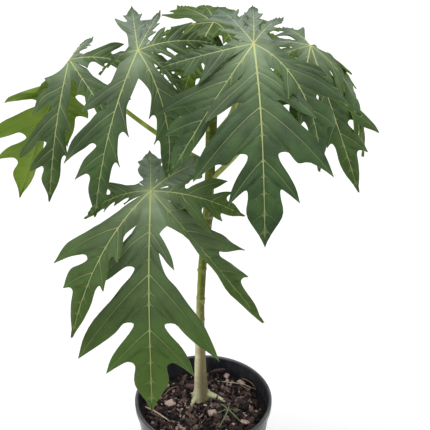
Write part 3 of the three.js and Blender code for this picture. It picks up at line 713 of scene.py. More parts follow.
def vein_distances(rows, tips, length, along, aside, t):
    """Distances to the midrib, the strong veins and the weak veins, in half widths, which shrink outwards."""
    flat = np.stack([along, aside], -1)
    strong_rows = vein_rows(rows[:, 0], tips[:, 0])
    weak_rows = vein_rows(rows[:, 0], WEAK_VEINS, strong_rows)
    strong_width, weak_width = np.interp(t, [0, 1], STRONG_WIDTH), np.interp(t, [0, 1], WEAK_WIDTH)
    strong, weak = np.full(t.shape, 1e3), np.full(t.shape, 1e3)
    for row in strong_rows:
        strong = np.minimum(strong, distance_to_path(flat, flat[row]) / strong_width)
    for row in weak_rows:
        weak = np.minimum(weak, distance_to_path(flat, flat[row]) / weak_width)
    rib_width = np.interp(along / length, RIB_STATIONS, RIB_WIDTH) * (length / RIB_LENGTH) ** 0.5
    return np.abs(aside) / rib_width, strong, weak


print("weak veins wanted on each half lobe:", len(WEAK_VEINS))

# %% [markdown]
# ## Relief and tones of the blade
# Between its veins a leaf swells like a quilt, its margin waves, and each lobe is a shallow valley with the
# midrib at the bottom. A bump map could fake this, but the outline and the shadows would stay flat, so the
# relief is real height here. Only the finest grain is left to the finish.

# %% Relief and tones
BLADE_THICKNESS = 0.9
VALLEY_DEPTH = 3.0
VALLEY_WIDTH = 16.0
QUILT_HEIGHT = 2.6
QUILT_REACH = 14
WAVE_HEIGHT = 2.4
WAVE_LENGTH = 9.0
FULL_WAVE_WIDTH = 30
HUB_REACH = 14
UNDER_FOLLOWS = 0.8


def blade_lift(rows, length, width, aside, t, rib, strong, weak, seed):
    """Height over the bent lobe = quilting + waves that grow to the margin + valley side + vein ridges."""
    vein = rows[:, :1]
    between = np.clip(np.minimum(strong, weak) / QUILT_REACH, 0, 1)
    quilt = between * 4 * t * (1 - t) * smooth_step(vein, 0.06, 0.2)
    margin = np.vstack([rows[:1], rows])[:, 1:] * length
    margin_run = np.cumsum(np.hypot(*np.diff(margin, axis=0).T))[:, None]
    wave = np.sin(margin_run / WAVE_LENGTH + 2 * seed) * t**3 * smooth_step(vein, 0.12, 0.25)
    valley = (1 - np.exp(-aside / VALLEY_WIDTH)) * smooth_step(vein, 0.06, 0.3)
    lift = QUILT_HEIGHT * quilt + WAVE_HEIGHT * wave * np.minimum(1, width / FULL_WAVE_WIDTH)
    return lift + VALLEY_DEPTH * valley + 0.45 * np.exp(-(rib**2)) + 0.22 * np.exp(-(strong**2))


def blade_tones(lobe, far, rib, strong, weak):
    """The numbers that the leaf finish reads: distance to a vein, how clear that vein is, hub bloom with
    painted sheen, painted grey sky sheen and yellow. far is the distance from the hub in lobe lengths."""
    clear = np.where(rib <= np.minimum(strong, weak), 1.0, np.where(strong <= weak, 0.42, 0.20))
    # The pale hub is partly the leaf's own bloom and partly painted sheen.
    bloom = 0.72 * np.exp(-((far / 0.16) ** 2)) + 0.22 * (1 - smooth_step(far, 0.1, 0.8))
    return dict(
        vein=np.minimum(np.minimum(rib, strong), weak),
        clear=clear * np.interp(far, [0, 0.35, 1], [1.0, 0.88, 0.48]),
        hub=lobe["bloom"] * bloom,
        painted_sheen=lobe["painted_sheen"] * smooth_step(far, 0.05, 0.25) * (1 - smooth_step(far, 0.6, 1.1)),
        yellow=lobe["yellow"] * (0.35 + 0.95 * np.clip(far, 0, 1) ** 1.5))


def half_lobe(lobe, neighbour, side, seed):
    """The top and bottom points of one half lobe, and its tones.

    The flat grid is bent in space and lifted along its normal. The underside follows most of the lift, and
    it is thicker under the veins.
    """
    length = lobe["length"]
    gap = (side * (neighbour["heading"] - lobe["heading"])) % (2 * np.pi)
    sinus = web_reach(lobe, neighbour, gap)
    start = (sinus * np.cos(gap / 2), sinus * np.sin(gap / 2))
    rows, tips = half_lobe_rows(lobe, side, start, seed)
    width = np.hypot((rows[:, 1:2] - rows[:, :1]) * length, rows[:, 2:] * length)
    t = column_shares(width)
    along, aside = flat_grid(rows, length, t)
    rib, strong, weak = vein_distances(rows, tips, length, along, aside, t)
    lift = blade_lift(rows, length, width, aside, t, rib, strong, weak, seed)
    keel = 1.5 * np.exp(-((rib / 1.2) ** 2)) * (1 - along / length) + 0.5 * np.exp(-(strong**2))
    foot = rows[:, :1] * length + 0 * along
    place, normal = shared_place(lobe, neighbour, side * gap, sinus, along, side * aside, foot)
    blend = smooth_step(np.hypot(along, aside), 0, HUB_REACH)[..., None]
    normal = lobe["hub_normal"] * (1 - blend) + normal * blend
    normal /= np.linalg.norm(normal, axis=-1, keepdims=True)
    sink = BLADE_THICKNESS + keel - np.where(lift > 0, UNDER_FOLLOWS, 1.0) * lift
    tones = blade_tones(lobe, np.hypot(along, aside) / length, rib, strong, weak)
    return place + normal * lift[..., None], place - normal * sink[..., None], tones


print("blade:", BLADE_THICKNESS, "mm thick")

# %% [markdown]
# ## A whole leaf
# A leaf is one closed thin sheet: all the half lobes on top, the same grids underneath, and a narrow strip
# round the margin. A Solidify modifier could thicken a single sheet, but it can't make the midrib thicker
# than the margin. The halves share their edges, so a weld joins them along the midribs and through the web.

# %% Build the leaves
TONES = ("vein", "clear", "hub", "painted_sheen", "yellow")
SWEEP = (-0.03, 0.03)
SKY_HEADING = 115


def painted_sky_sheen(heading, rise, bend):
    """How much painted grey sheen of reflected sky a lobe gets: most where it lies flat and points backwards.
    """
    flat = np.interp(rise - bend / 3, [-20, 5], [0.0, 0.85])
    backward = np.interp(math.cos(math.radians(heading - SKY_HEADING)), [0.1, 0.5], [0.0, 1.0])
    return float(flat * backward)


def lobe_frames(leaf, rng):
    """The lobes of a leaf with angles in radians, a little sideways sweep each, and one shared hub normal."""
    frames = []
    for heading, rise, bend, length, kind, *twist in leaf["lobes"]:
        angles = dict(heading=heading, rise=rise, bend=bend, fold=leaf["fold"], twist=sum(twist))
        lobe = {key: math.radians(angle) for key, angle in angles.items()}
        lobe.update(hub=leaf["hub"], length=float(length), kind=kind, sweep=rng.uniform(*SWEEP))
        lobe.update(yellow=leaf["yellow"], bloom=leaf["bloom"])
        # A painted sky sheen, strongest on flat lobes that point backwards.
        lobe["painted_sheen"] = leaf["bloom"] * painted_sky_sheen(heading, rise, bend)
        frames.append(lobe)
    normals = [lobe_place(lobe, np.zeros(1), np.zeros(1))[1][0] for lobe in frames]
    mean = np.mean(normals, axis=0)
    for lobe in frames:
        lobe["hub_normal"] = mean / np.linalg.norm(mean)
    return frames


def leaf_blade(name, leaf, number):
    """One leaf: each half lobe has a top grid, a bottom grid that faces the other way and a strip between."""
    frames = lobe_frames(leaf, np.random.default_rng(100 + number))
    points, faces, values = [], [], {key: [] for key in (*TONES, "under")}
    count = 0
    for i, lobe in enumerate(frames):
        for side in (1, -1):
            neighbour = frames[(i + side) % len(frames)]
            top, bottom, tones = half_lobe(lobe, neighbour, side, seed=10 * number + 2 * i + (side > 0))
            rows, columns = top.shape[:2]
            for skin, under in ((top, 0.0), (bottom, 1.0)):
                points.append(skin.reshape(-1, 3))
                values["under"].append(np.full(rows * columns, under))
                for key in TONES:
                    values[key].append(tones[key].ravel())
            sheet = grid_faces(rows, columns, start=count)
            below = grid_faces(rows, columns, start=count + rows * columns)
            rim = np.arange(rows) * columns + columns - 1 + count
            low = rim + rows * columns
            strip = np.stack([rim[:-1], low[:-1], low[1:], rim[1:]], -1)
            if side > 0:
                faces += [sheet, below[:, ::-1], strip[:, ::-1]]
            else:
                faces += [sheet[:, ::-1], below, strip]
            count += 2 * rows * columns
    values = {key: np.concatenate(parts) for key, parts in values.items()}
    piece = make_piece("blade_" + name, np.concatenate(points), np.concatenate(faces), leaf_material,
                       weld=0.02, values=values)
    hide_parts("leaf_" + name)
    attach(piece, "root")
    return piece, frames[0]["hub_normal"]


blades = {}
hub_normals = {}
for number, (name, leaf) in enumerate(LEAVES.items()):
    blades[name], hub_normals[name] = leaf_blade(name, leaf, number)
print("leaf faces:", {name: len(blade.data.polygons) for name, blade in blades.items()})

# %% [markdown]
# ## Limbs along a line
# Stalks, surface roots, straws and twigs are all thin limbs. A curve object with a bevel could give each of
# them, but a circle carried along a path as arrays lets the radius and the groove change freely, and it ends
# in a point at both ends. The trunk's own line comes first, because every stalk starts in its middle.

# %% Trunk line and limbs
MIX_LEVEL = 165
TRUNK_FOOT = (-4, 30)
TRUNK_COURSE = np.array([
    (MIX_LEVEL, 0, 11.6), (171, 0, 10.9), (182, 0, 9.9), (230, -0.5, 8.3), (290, -0.5, 6.4), (340, 0.5, 5.6),
    (400, 3.5, 5.7), (470, 10.5, 6.8), (560, 15, 6.5), (596, 16, 7.2), (632, 17, 7.0), (648, 17.5, 3.4)])
BACKWARD = (0.0, 1.0, 0.02)


def trunk_centre(height):
    """The middle of the trunk at a height. The course holds height, lean to the right and radius."""
    lean = np.interp(height, TRUNK_COURSE[:, 0], TRUNK_COURSE[:, 1])
    return np.stack([TRUNK_FOOT[0] + lean, TRUNK_FOOT[1] + 0 * lean, height + 0 * lean], -1)


def tube(path, radius, sides, groove=0.0, seed=0):
    """A closed limb: circles of the given radii carried along a path, with a point at each end.

    No limb runs straight backward, so that direction fixes how the circles are turned. The groove narrows a
    circle on two sides and roughens it with noise.
    """
    along = np.gradient(path, axis=0)
    along /= np.linalg.norm(along, axis=1, keepdims=True)
    side = np.cross(BACKWARD, along)
    side /= np.linalg.norm(side, axis=1, keepdims=True)
    front = np.cross(along, side)
    turn = np.linspace(0, 2 * np.pi, sides, endpoint=False)
    wave = 1 - groove * (0.5 + 0.5 * np.cos(2 * turn)) + groove * soft_noise(turn * 3, turn * 0, seed)
    ring = np.cos(turn)[None, :, None] * side[:, None] + np.sin(turn)[None, :, None] * front[:, None]
    body = path[:, None] + ring * (radius[:, None] * wave[None, :])[..., None]
    first, last = np.repeat(path[:1, None], sides, 1), np.repeat(path[-1:, None], sides, 1)
    rows = np.concatenate([first, body, last])
    return rows.reshape(-1, 3), grid_faces(len(path) + 2, sides, wrap=True)[:, ::-1]


print("trunk from", TRUNK_COURSE[0, 0], "to", TRUNK_COURSE[-1, 0], "mm above the floor")

# %% [markdown]
# ## Stalks
# A papaya stalk is a smooth, slightly arching rod, thicker where it leaves the trunk and a little swollen
# again under the blade. A straight rod would look stiff, so it follows a curve with three control points, and
# a slow groove keeps it from looking like a plain pipe. Its green is streaked lengthwise.

# %% Stalk finish and stalks
STALK_BASE = 3.9
STALK_TIP = 2.5
STALK_BEND = (0.55, 0.36)
STALK_RINGS = 44
HUB_DEPTH = 1.2


def stalk_finish():
    """Two greens in streaks that follow the stalk."""
    f = Finish("green_stalk")
    streak = f.mottle(60, 0.35, 0.7, stretch=(1, 1, 0.25))
    colour = f.mix(streak, (0.170, 0.220, 0.022), (0.320, 0.370, 0.080))
    f.grain(260, 0.0006, 0.4, stretch=(1, 1, 0.2))
    return f.paint(colour, 0.42, 0.4)


def stalk_path(start, end, t):
    """A curve from start to end. STALK_BEND puts its middle control point at a share of the run and rise."""
    bend = start + (end - start) * STALK_BEND[0]
    bend[2] = start[2] + (end[2] - start[2]) * STALK_BEND[1]
    t = t[:, None]
    return (1 - t) ** 2 * start + 2 * t * (1 - t) * bend + t**2 * end


stalk_material = stalk_finish()
t = np.linspace(0, 1, STALK_RINGS)
stalk_radius = STALK_BASE + (STALK_TIP - STALK_BASE) * t
stalk_radius = stalk_radius + 1.2 * np.exp(-t / 0.05) + 0.7 * np.exp(-((1 - t) / 0.025) ** 2)
for name, leaf in LEAVES.items():
    start = trunk_centre(np.array(float(leaf["stalk"])))
    end = np.array(leaf["hub"]) - HUB_DEPTH * hub_normals[name]
    points, faces = tube(stalk_path(start, end, t), stalk_radius, 20, groove=0.06, seed=len(name))
    stalk = make_piece("rod_" + name, points, faces, stalk_material, weld=0.01)
    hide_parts("stalk_" + name)
    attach(stalk, "root")
print("stalks:", len(LEAVES))

# %% [markdown]
# ## The trunk
# The young trunk is green and smooth, paler and woodier at its foot, and ringed by the scars of fallen
# leaves. Its right side is darker and browner with painted shade. It could be sculpted by hand, but its form
# is simple to say: the radius changes with height and turn. It grows towards each root at the foot, and each
# scar is a small raised ring on a low collar.

# %% Trunk surface
TRUNK_ROWS = 420
TRUNK_COLUMNS = 96
TRUNK_SUNK = 6
ROOT_TURNS = (-124, -12, 56, 152)
ROOT_FLARE = 3.4
FLARE_HEIGHT = 9.0
# The trunk's right side is darkened with painted shade, centred on this bearing.
SHADED_SIDE_TURN = -15
SCARS = [(262, 70), (305, 200), (342, 340), (392, 120), (436, 250), (478, 30)]
SCAR_WIDE = 5.0
SCAR_HIGH = 3.6
SCAR_RISE = 0.7
WRINKLE_RISE = 0.22


def turn_from(turn, degrees):
    """How far round the trunk from a bearing, in radians from -pi to pi."""
    return (turn - math.radians(degrees) + np.pi) % (2 * np.pi) - np.pi


def with_scars(radius, height, turn):
    """The radius with every scar's ring, dome and collar, and how near each point is to a scar.

    The collar runs round the trunk just above the scar and dips towards it.
    """
    near = 0 * radius
    for scar_height, scar_turn in SCARS:
        around = turn_from(turn, scar_turn)
        reach = np.hypot(around * radius / SCAR_WIDE, (height - scar_height) / SCAR_HIGH)
        ring = np.exp(-(((reach - 1) / 0.28) ** 2))
        collar = np.exp(-(((height - scar_height - 3 + 1.5 * np.cos(around)) / 2.0) ** 2))
        radius = radius + SCAR_RISE * ring + 0.25 * np.exp(-(reach**2)) + SCAR_RISE * collar
        near = np.maximum(near, np.maximum(0.8 * ring, collar * (0.6 + 0.4 * np.cos(around))))
    return radius, near


def trunk_surface():
    """Radius = course radius + seven low flutes and a flare towards each root + scars + fine wrinkles.

    The first and last rings shrink to a point, which closes the ends. Returns the points, how near each one
    is to a scar, and how far it is on the side that gets painted shade.
    """
    heights = np.linspace(MIX_LEVEL - TRUNK_SUNK, TRUNK_COURSE[-1, 0], TRUNK_ROWS)
    turns = np.linspace(0, 2 * np.pi, TRUNK_COLUMNS, endpoint=False)
    height, turn = np.meshgrid(heights, turns, indexing="ij")
    radius = np.interp(height, TRUNK_COURSE[:, 0], TRUNK_COURSE[:, 2])
    foot = np.exp(-(height - MIX_LEVEL) / FLARE_HEIGHT)
    radius = radius + 0.5 * foot * np.cos(7 * turn)
    for root_turn in ROOT_TURNS:
        radius = radius + ROOT_FLARE * foot * np.exp(-((turn_from(turn, root_turn) / 0.42) ** 2))
    radius, scar = with_scars(radius, height, turn)
    wrinkle = soft_noise(turn * 8, height / 14, 5) + 0.6 * soft_noise(turn * 19, height / 7, 6)
    seam_fade = (1 - smooth_step(turn, 6.0, 6.28)) * smooth_step(turn, 0, 0.28)
    radius = radius + WRINKLE_RISE * wrinkle * seam_fade
    radius[[0, -1]] = 0
    # How far each point lies on the side that gets painted shade.
    shaded_side = smooth_step(np.cos(turn - math.radians(SHADED_SIDE_TURN)), -0.75, 0.75)
    spread = np.stack([np.cos(turn) * radius, np.sin(turn) * radius, 0 * radius], -1)
    points = trunk_centre(heights)[:, None] + spread
    return points.reshape(-1, 3), scar.ravel(), shaded_side.ravel()


trunk_points, scars, shaded_side = trunk_surface()
print("widest at the foot:", round(float(np.ptp(trunk_points[:, 0])), 1), "mm")

# %% Trunk finish and trunk
BARK_STOPS = [
    (0.00, (0.880, 0.800, 0.540)), (0.17, (0.800, 0.740, 0.440)), (0.28, (0.300, 0.320, 0.090)),
    (0.42, (0.220, 0.260, 0.036)), (0.60, (0.105, 0.145, 0.016)), (1.00, (0.085, 0.125, 0.010))]
# Painted shade: colours of the trunk's darker right side, from foot to top.
SHADED_SIDE_STOPS = [
    (0.00, (0.170, 0.140, 0.070)), (0.17, (0.100, 0.090, 0.030)), (0.34, (0.060, 0.075, 0.008)),
    (1.00, (0.050, 0.080, 0.006))]
BARK_FROM = 0.17
BARK_TO = 0.67


def trunk_finish():
    """Cream at the foot, then olive green, darker and browner on the right with painted shade, with rings,
    pale flecks and stains.
    """
    f = Finish("papaya_bark")
    wander = f.math("MULTIPLY", f.mottle(16, 0, 1), 0.04)
    colour = f.ramp(f.band(f.math("ADD", f.height(), wander), BARK_FROM, BARK_TO), BARK_STOPS)
    # Painted shade: darker, browner colours on the trunk's right side, mixed in by a streaky mask.
    deep = f.ramp(f.band(f.height(), BARK_FROM, BARK_TO), SHADED_SIDE_STOPS)
    share = f.math("MULTIPLY", f.value("shaded_side"), f.mottle(38, 0.1, 0.5, detail=4, stretch=(1, 1, 0.4)))
    colour = f.mix(f.band(share, 0, 1, 0.0, 0.92), colour, deep)
    ring = f.mottle(90, 0.42, 0.62, detail=3, stretch=(0.25, 0.25, 2.4))
    colour = f.mix(f.math("MULTIPLY", ring, 0.22), colour, (0.22, 0.20, 0.08))
    fleck = f.mottle(240, 0.58, 0.70, detail=2, stretch=(1, 1, 0.45))
    colour = f.mix(f.math("MULTIPLY", fleck, 0.22), colour, (0.52, 0.50, 0.34))
    stain = f.mottle(55, 0.50, 0.75, detail=4, stretch=(1, 1, 0.3))
    colour = f.mix(f.math("MULTIPLY", stain, 0.30), colour, (0.12, 0.12, 0.04))
    scar = f.value("scar")
    colour = f.mix(f.math("MULTIPLY", scar, 0.55), colour, (0.36, 0.40, 0.16))
    f.grain(420, 0.0009, 0.5, detail=4, stretch=(0.6, 0.6, 1.4))
    return f.paint(colour, 0.62, 0.12)


trunk_faces = grid_faces(TRUNK_ROWS, TRUNK_COLUMNS, wrap=True)[:, ::-1]
trunk = make_piece("bark", trunk_points, trunk_faces, trunk_finish(), weld=0.01,
                   values={"scar": scars, "shaded_side": shaded_side})
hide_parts("trunk")
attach(trunk, "root")
print("trunk faces:", len(trunk.data.polygons))

# %% [markdown]
# ## The pot
# The pot is injection-moulded black plastic with a band round the rim. It could be a cylinder cut and
# bevelled by modifiers, but a short profile turned about the upright axis gives every radius at once, with
# doubled points near each corner to keep the small moulding radii tight.

# %% Pot wall and finish
FLOOR_TOP = 3.0
FLOOR_UNDER = 0.8
FLOOR_OUTER = 64.5
POT_COLUMNS = 168
PROFILE_STEP = 12
WALL_PROFILE = [
    (FLOOR_OUTER, FLOOR_TOP), (70, FLOOR_TOP), (71.9, 3.3), (72.2, 5.0), (94.4, 176), (94.5, 183),
    (95.0, 188.6), (96.2, 189.6), (97.5, 190), (98.8, 190), (99.6, 189.6), (100, 188.6), (100, 186),
    (99.6, 181), (99.4, 178.2), (98.9, 176.4), (97.6, 176.0), (97.0, 175.6), (96.9, 172), (74.4, 3),
    (74.0, 1.2), (73.0, 0.3), (71.5, 0), (66, 0), (FLOOR_OUTER, FLOOR_UNDER)]


def pot_finish():
    """Black plastic with dust in soft patches, upright streaks and a few scuffs."""
    f = Finish("black_pot")
    dust = f.mottle(18, 0.45, 0.75, detail=4)
    scuff = f.mottle(70, 0.52, 0.74, detail=5, stretch=(1, 1, 0.4))
    streak = f.mottle(130, 0.48, 0.70, detail=3, stretch=(1, 1, 0.06))
    colour = f.mix(f.math("MULTIPLY", dust, 0.35), (0.016, 0.018, 0.024), (0.060, 0.062, 0.070))
    colour = f.mix(f.math("MULTIPLY", streak, 0.30), colour, (0.085, 0.085, 0.095))
    colour = f.mix(f.math("MULTIPLY", scuff, 0.2), colour, (0.13, 0.125, 0.12))
    f.grain(900, 0.0003, 0.25, detail=2)
    return f.paint(colour, f.mottle(35, -0.3, 1.7, detail=4), 0.60)


def turned_grid(stops):
    """A profile of (radius, height) turned about Z, with extra points so that no stretch is too long."""
    profile = np.array(stops, dtype=float)
    run = np.concatenate([[0], np.cumsum(np.linalg.norm(np.diff(profile, axis=0), axis=1))])
    at = np.unique(np.concatenate([run, np.arange(0, run[-1], PROFILE_STEP)]))
    radius, height = np.interp(at, run, profile[:, 0])[:, None], np.interp(at, run, profile[:, 1])[:, None]
    turn = np.linspace(0, 2 * np.pi, POT_COLUMNS, endpoint=False)[None, :]
    points = np.stack([radius * np.cos(turn), radius * np.sin(turn), height + 0 * turn], -1)
    return points.reshape(-1, 3), grid_faces(len(at), POT_COLUMNS, wrap=True)


wall = turned_grid(WALL_PROFILE)
print("wall:", len(wall[1]), "faces")

# %% [markdown]
# ## The pot's floor
# Six drain holes go through the floor. A Boolean modifier would cut them, but it leaves long thin faces. Here
# the floor between two rings is cut into six equal sectors, and each sector is a grid that runs from the edge
# of its hole out to its own outline. So the holes need no cutting, and every edge meets its neighbour's.

# %% Pot floor and pot
FLOOR_INNER = 30.0
DRAIN_HOLES = 6
DRAIN_RADIUS = 6.0
DRAIN_CIRCLE = 48.0
SECTOR_STEPS = 6
SECTOR_RINGS = 4


def sector_outline():
    """The outline of the floor sector on the +X side: outer arc, side, inner arc and side."""
    half = np.pi / DRAIN_HOLES
    turn = np.linspace(-half, half, POT_COLUMNS // DRAIN_HOLES, endpoint=False)
    inward = np.linspace(FLOOR_OUTER, FLOOR_INNER, SECTOR_STEPS, endpoint=False)
    outward = np.linspace(FLOOR_INNER, FLOOR_OUTER, SECTOR_STEPS, endpoint=False)
    angle = np.concatenate([turn, 0 * inward + half, -turn, 0 * outward - half])
    radius = np.concatenate([0 * turn + FLOOR_OUTER, inward, 0 * turn + FLOOR_INNER, outward])
    return np.stack([radius * np.cos(angle), radius * np.sin(angle)], -1)


def floor_sector(number):
    """One sector of the floor: grids from hole to outline on top and underneath, and the hole's wall."""
    outline = sector_outline()
    spoke = outline - [DRAIN_CIRCLE, 0]
    hole = DRAIN_RADIUS * spoke / np.linalg.norm(spoke, axis=1, keepdims=True) + [DRAIN_CIRCLE, 0]
    flat = hole + (outline - hole) * np.linspace(0, 1, SECTOR_RINGS)[:, None, None]
    turn = 2 * np.pi * number / DRAIN_HOLES
    x = flat[..., 0] * np.cos(turn) - flat[..., 1] * np.sin(turn)
    y = flat[..., 0] * np.sin(turn) + flat[..., 1] * np.cos(turn)
    levels = [np.stack([x, y, 0 * x + level], -1).reshape(-1, 3) for level in (FLOOR_TOP, FLOOR_UNDER)]
    rows, around = x.shape
    top = grid_faces(rows, around, wrap=True)
    edge = np.arange(around)
    after = (edge + 1) % around
    below = rows * around
    bore = np.stack([edge + below, edge, after, after + below], -1)
    return np.concatenate(levels), np.concatenate([top, top[:, ::-1] + below, bore])


def joined(parts):
    """Several grids as one list of points and one list of faces."""
    starts = np.cumsum([0] + [len(points) for points, _ in parts])
    faces = [grid + start for (_, grid), start in zip(parts, starts)]
    return np.concatenate([points for points, _ in parts]), np.concatenate(faces)


middle_top = turned_grid([(0, FLOOR_TOP), (FLOOR_INNER, FLOOR_TOP)])
middle_under = turned_grid([(FLOOR_INNER, FLOOR_UNDER), (0, FLOOR_UNDER)])
pot_parts = [wall, middle_top, middle_under] + [floor_sector(number) for number in range(DRAIN_HOLES)]
pot = make_piece("moulded_pot", *joined(pot_parts), pot_finish(), weld=0.01, crease=40)
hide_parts("pot")
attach(pot, "root")
print("pot faces:", len(pot.data.polygons))

# %% [markdown]
# ## The potting mix
# The mix is bark and peat. Displacing one sheet would give lumps but no loose pieces. So an uneven bed comes
# first, as rings of points with a skirt down the pot's wall and a foot on its floor, and crumbs and chips are
# laid on it afterwards.

# %% Bed of mix
MIX_RIPPLE = 2.5
BED_RADIUS = 92.2
BED_SUNK = 1.6
BED_ROWS = 90
BED_COLUMNS = 240
BED_TONE = 0.45
PEAT_STOPS = [(0.0, (0.004, 0.003, 0.003)), (0.5, (0.012, 0.009, 0.009)), (1.0, (0.036, 0.027, 0.025))]


def mix_height(x, y):
    """The mix's height: level round the trunk, rolling away from it."""
    away = smooth_step(np.hypot(x - TRUNK_FOOT[0] - 6, y - TRUNK_FOOT[1] + 8), 36, 52)
    wave = np.sin(x * 0.11 + 1) * np.cos(y * 0.13) + np.sin((x + y) * 0.21)
    return MIX_LEVEL + away * MIX_RIPPLE * (wave / 2 - 0.3)


def mix_finish(name, stops, rough, scale=700):
    """A colour picked by each piece's own tone, shifted a little by fine patches."""
    f = Finish(name)
    shift = f.math("MULTIPLY", f.math("SUBTRACT", f.mottle(scale, 0.2, 0.8, detail=4), 0.5), 0.3)
    colour = f.ramp(f.math("ADD", f.value("tone"), shift), stops)
    f.grain(scale, 0.0012, 0.8, detail=4)
    return f.paint(colour, rough, 0.35)


def bed_surface():
    """Rings of points: the rolling surface with two sizes of lumps, a skirt, a foot and the foot's middle."""
    radius = np.linspace(0, 1, BED_ROWS)[:, None] * BED_RADIUS
    turn = np.linspace(0, 2 * np.pi, BED_COLUMNS, endpoint=False)[None, :]
    x, y = radius * np.cos(turn), radius * np.sin(turn)
    lumps = 1.3 * soft_noise(x / 5 + 40, y / 5 + 40, 21) + 0.8 * soft_noise(x / 2 + 90, y / 2 + 90, 22)
    surface = np.stack([x, y, mix_height(x, y) - BED_SUNK + lumps], -1)
    skirt = surface[-1:] * [0.975, 0.975, 1] - [0, 0, 12]
    foot = skirt * [0.78, 0.78, 0] + [0, 0, FLOOR_TOP + 1]
    middle = foot * [0, 0, 1]
    return np.concatenate([surface, skirt, foot, middle])


bed_points = bed_surface()
bed_faces = grid_faces(len(bed_points), BED_COLUMNS, wrap=True)
peat_material = mix_finish("peat", PEAT_STOPS, 0.9)
bed = make_piece("mix_bed", bed_points.reshape(-1, 3), bed_faces, peat_material, weld=0.01,
                 values={"tone": np.full(bed_points.size // 3, BED_TONE)}, crease=80)
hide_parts("potting_mix")
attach(bed, "root")
print("bed faces:", len(bed.data.polygons))

# %% [markdown]
# ## Crumbs and chips
# Thousands of loose pieces lie on the bed. A particle system could spread them, but they would not be meshes
# that can be exported. Each kind of crumb is a single mesh instead: one small block, copied with its own
# size, turn, dents and shade.

# %% One block, and many
BLOCK_SIDES = 6
BLOCK_RINGS = ((0.62, -0.5), (1, -0.15), (0.96, 0.2), (0.6, 0.5))
BLOCK_END = 0.58
DENT = 0.22


def block_shape(squareness):
    """A small closed block: four rings of points and two end points, between square and round.

    Returns the points, the four-cornered faces between the rings and the three-cornered faces at the ends.
    """
    turn = np.linspace(0, 2 * np.pi, BLOCK_SIDES, endpoint=False)
    c, s = np.cos(turn), np.sin(turn)
    c, s = np.sign(c) * np.abs(c) ** squareness, np.sign(s) * np.abs(s) ** squareness
    rings = [np.stack([c * radius, s * radius, 0 * c + z], -1) for radius, z in BLOCK_RINGS]
    shape = np.concatenate([[[0, 0, -BLOCK_END]], *rings, [[0, 0, BLOCK_END]]])
    body = grid_faces(len(BLOCK_RINGS), BLOCK_SIDES, wrap=True, start=1)[:, ::-1]
    k = np.arange(BLOCK_SIDES)
    after = (k + 1) % BLOCK_SIDES
    last = len(shape) - 1
    low = np.stack([0 * k, 1 + after, 1 + k], -1)
    high = np.stack([0 * k + last, last - BLOCK_SIDES + k, last - BLOCK_SIDES + after], -1)
    return shape, body, np.concatenate([low, high])


def turned_pair(points, first, second, angle):
    """The points turned by one angle a block in the plane of two axes."""
    c, s = np.cos(angle)[:, None], np.sin(angle)[:, None]
    out = points.copy()
    out[..., first] = points[..., first] * c - points[..., second] * s
    out[..., second] = points[..., first] * s + points[..., second] * c
    return out


def lay_blocks(name, place, size, yaw, roll, pitch, tone, material, squareness, rng):
    """One mesh of blocks, each scaled, dented, tilted, turned and put in its place."""
    shape, body, ends = block_shape(squareness)
    count = len(place)
    dents = 1 + rng.uniform(-DENT, DENT, (count, len(shape), 3))
    local = shape[None] * dents * (size / 2)[:, None, :] * [1, 1, 2]
    for first, second, angle in ((1, 2, roll), (0, 2, pitch), (0, 1, yaw)):
        local = turned_pair(local, first, second, angle)
    points = local + place[:, None]
    shift = (np.arange(count) * len(shape))[:, None, None]
    quads = (body[None] + shift).reshape(-1, 4).tolist()
    tris = (ends[None] + shift).reshape(-1, 3).tolist()
    values = {"tone": np.repeat(tone, len(shape))}
    piece = make_piece(name, points.reshape(-1, 3), quads + tris, material, values=values, crease=35)
    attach(piece, "root")
    return piece


print("points in a block:", len(block_shape(0.5)[0]))

# %% Scattered crumbs and chips
BARK_CHIP_STOPS = [
    (0.00, (0.008, 0.005, 0.005)), (0.35, (0.030, 0.019, 0.018)), (0.62, (0.115, 0.072, 0.064)),
    (0.82, (0.290, 0.200, 0.175)), (1.00, (0.540, 0.420, 0.370))]
PERLITE_STOPS = [(0.0, (0.55, 0.53, 0.5)), (1.0, (0.85, 0.84, 0.8))]


def scatter_crumbs(name, count, length, width, thick, lift, squareness, material, tones, seed,
                   clear=15, radius=88, tilt=0.5):
    """count blocks laid at random on the mix, clear of the trunk and of the pot's wall.

    length, width, thick, lift and tones are each the lowest and highest value that a block may have.
    """
    rng = np.random.default_rng(seed)
    size = np.stack([rng.uniform(*length, count), rng.uniform(*width, count), rng.uniform(*thick, count)], -1)
    reach = radius - size[:, 0] / 2
    turn, far = rng.uniform(0, 2 * np.pi, count), np.sqrt(rng.uniform(0, 1, count))
    x, y = far * reach * np.cos(turn), far * reach * np.sin(turn)
    keep = np.hypot(x - TRUNK_FOOT[0], y - TRUNK_FOOT[1]) > clear + size[:, 0] / 2
    size, x, y = size[keep], x[keep], y[keep]
    count = len(x)
    place = np.stack([x, y, mix_height(x, y) + rng.uniform(*lift, count)], -1)
    yaw = rng.uniform(0, 2 * np.pi, count)
    roll, pitch = rng.normal(0, tilt, count), rng.normal(0, tilt, count)
    tone = rng.uniform(*tones, count)
    return lay_blocks(name, place, size, yaw, roll, pitch, tone, material, squareness, rng)


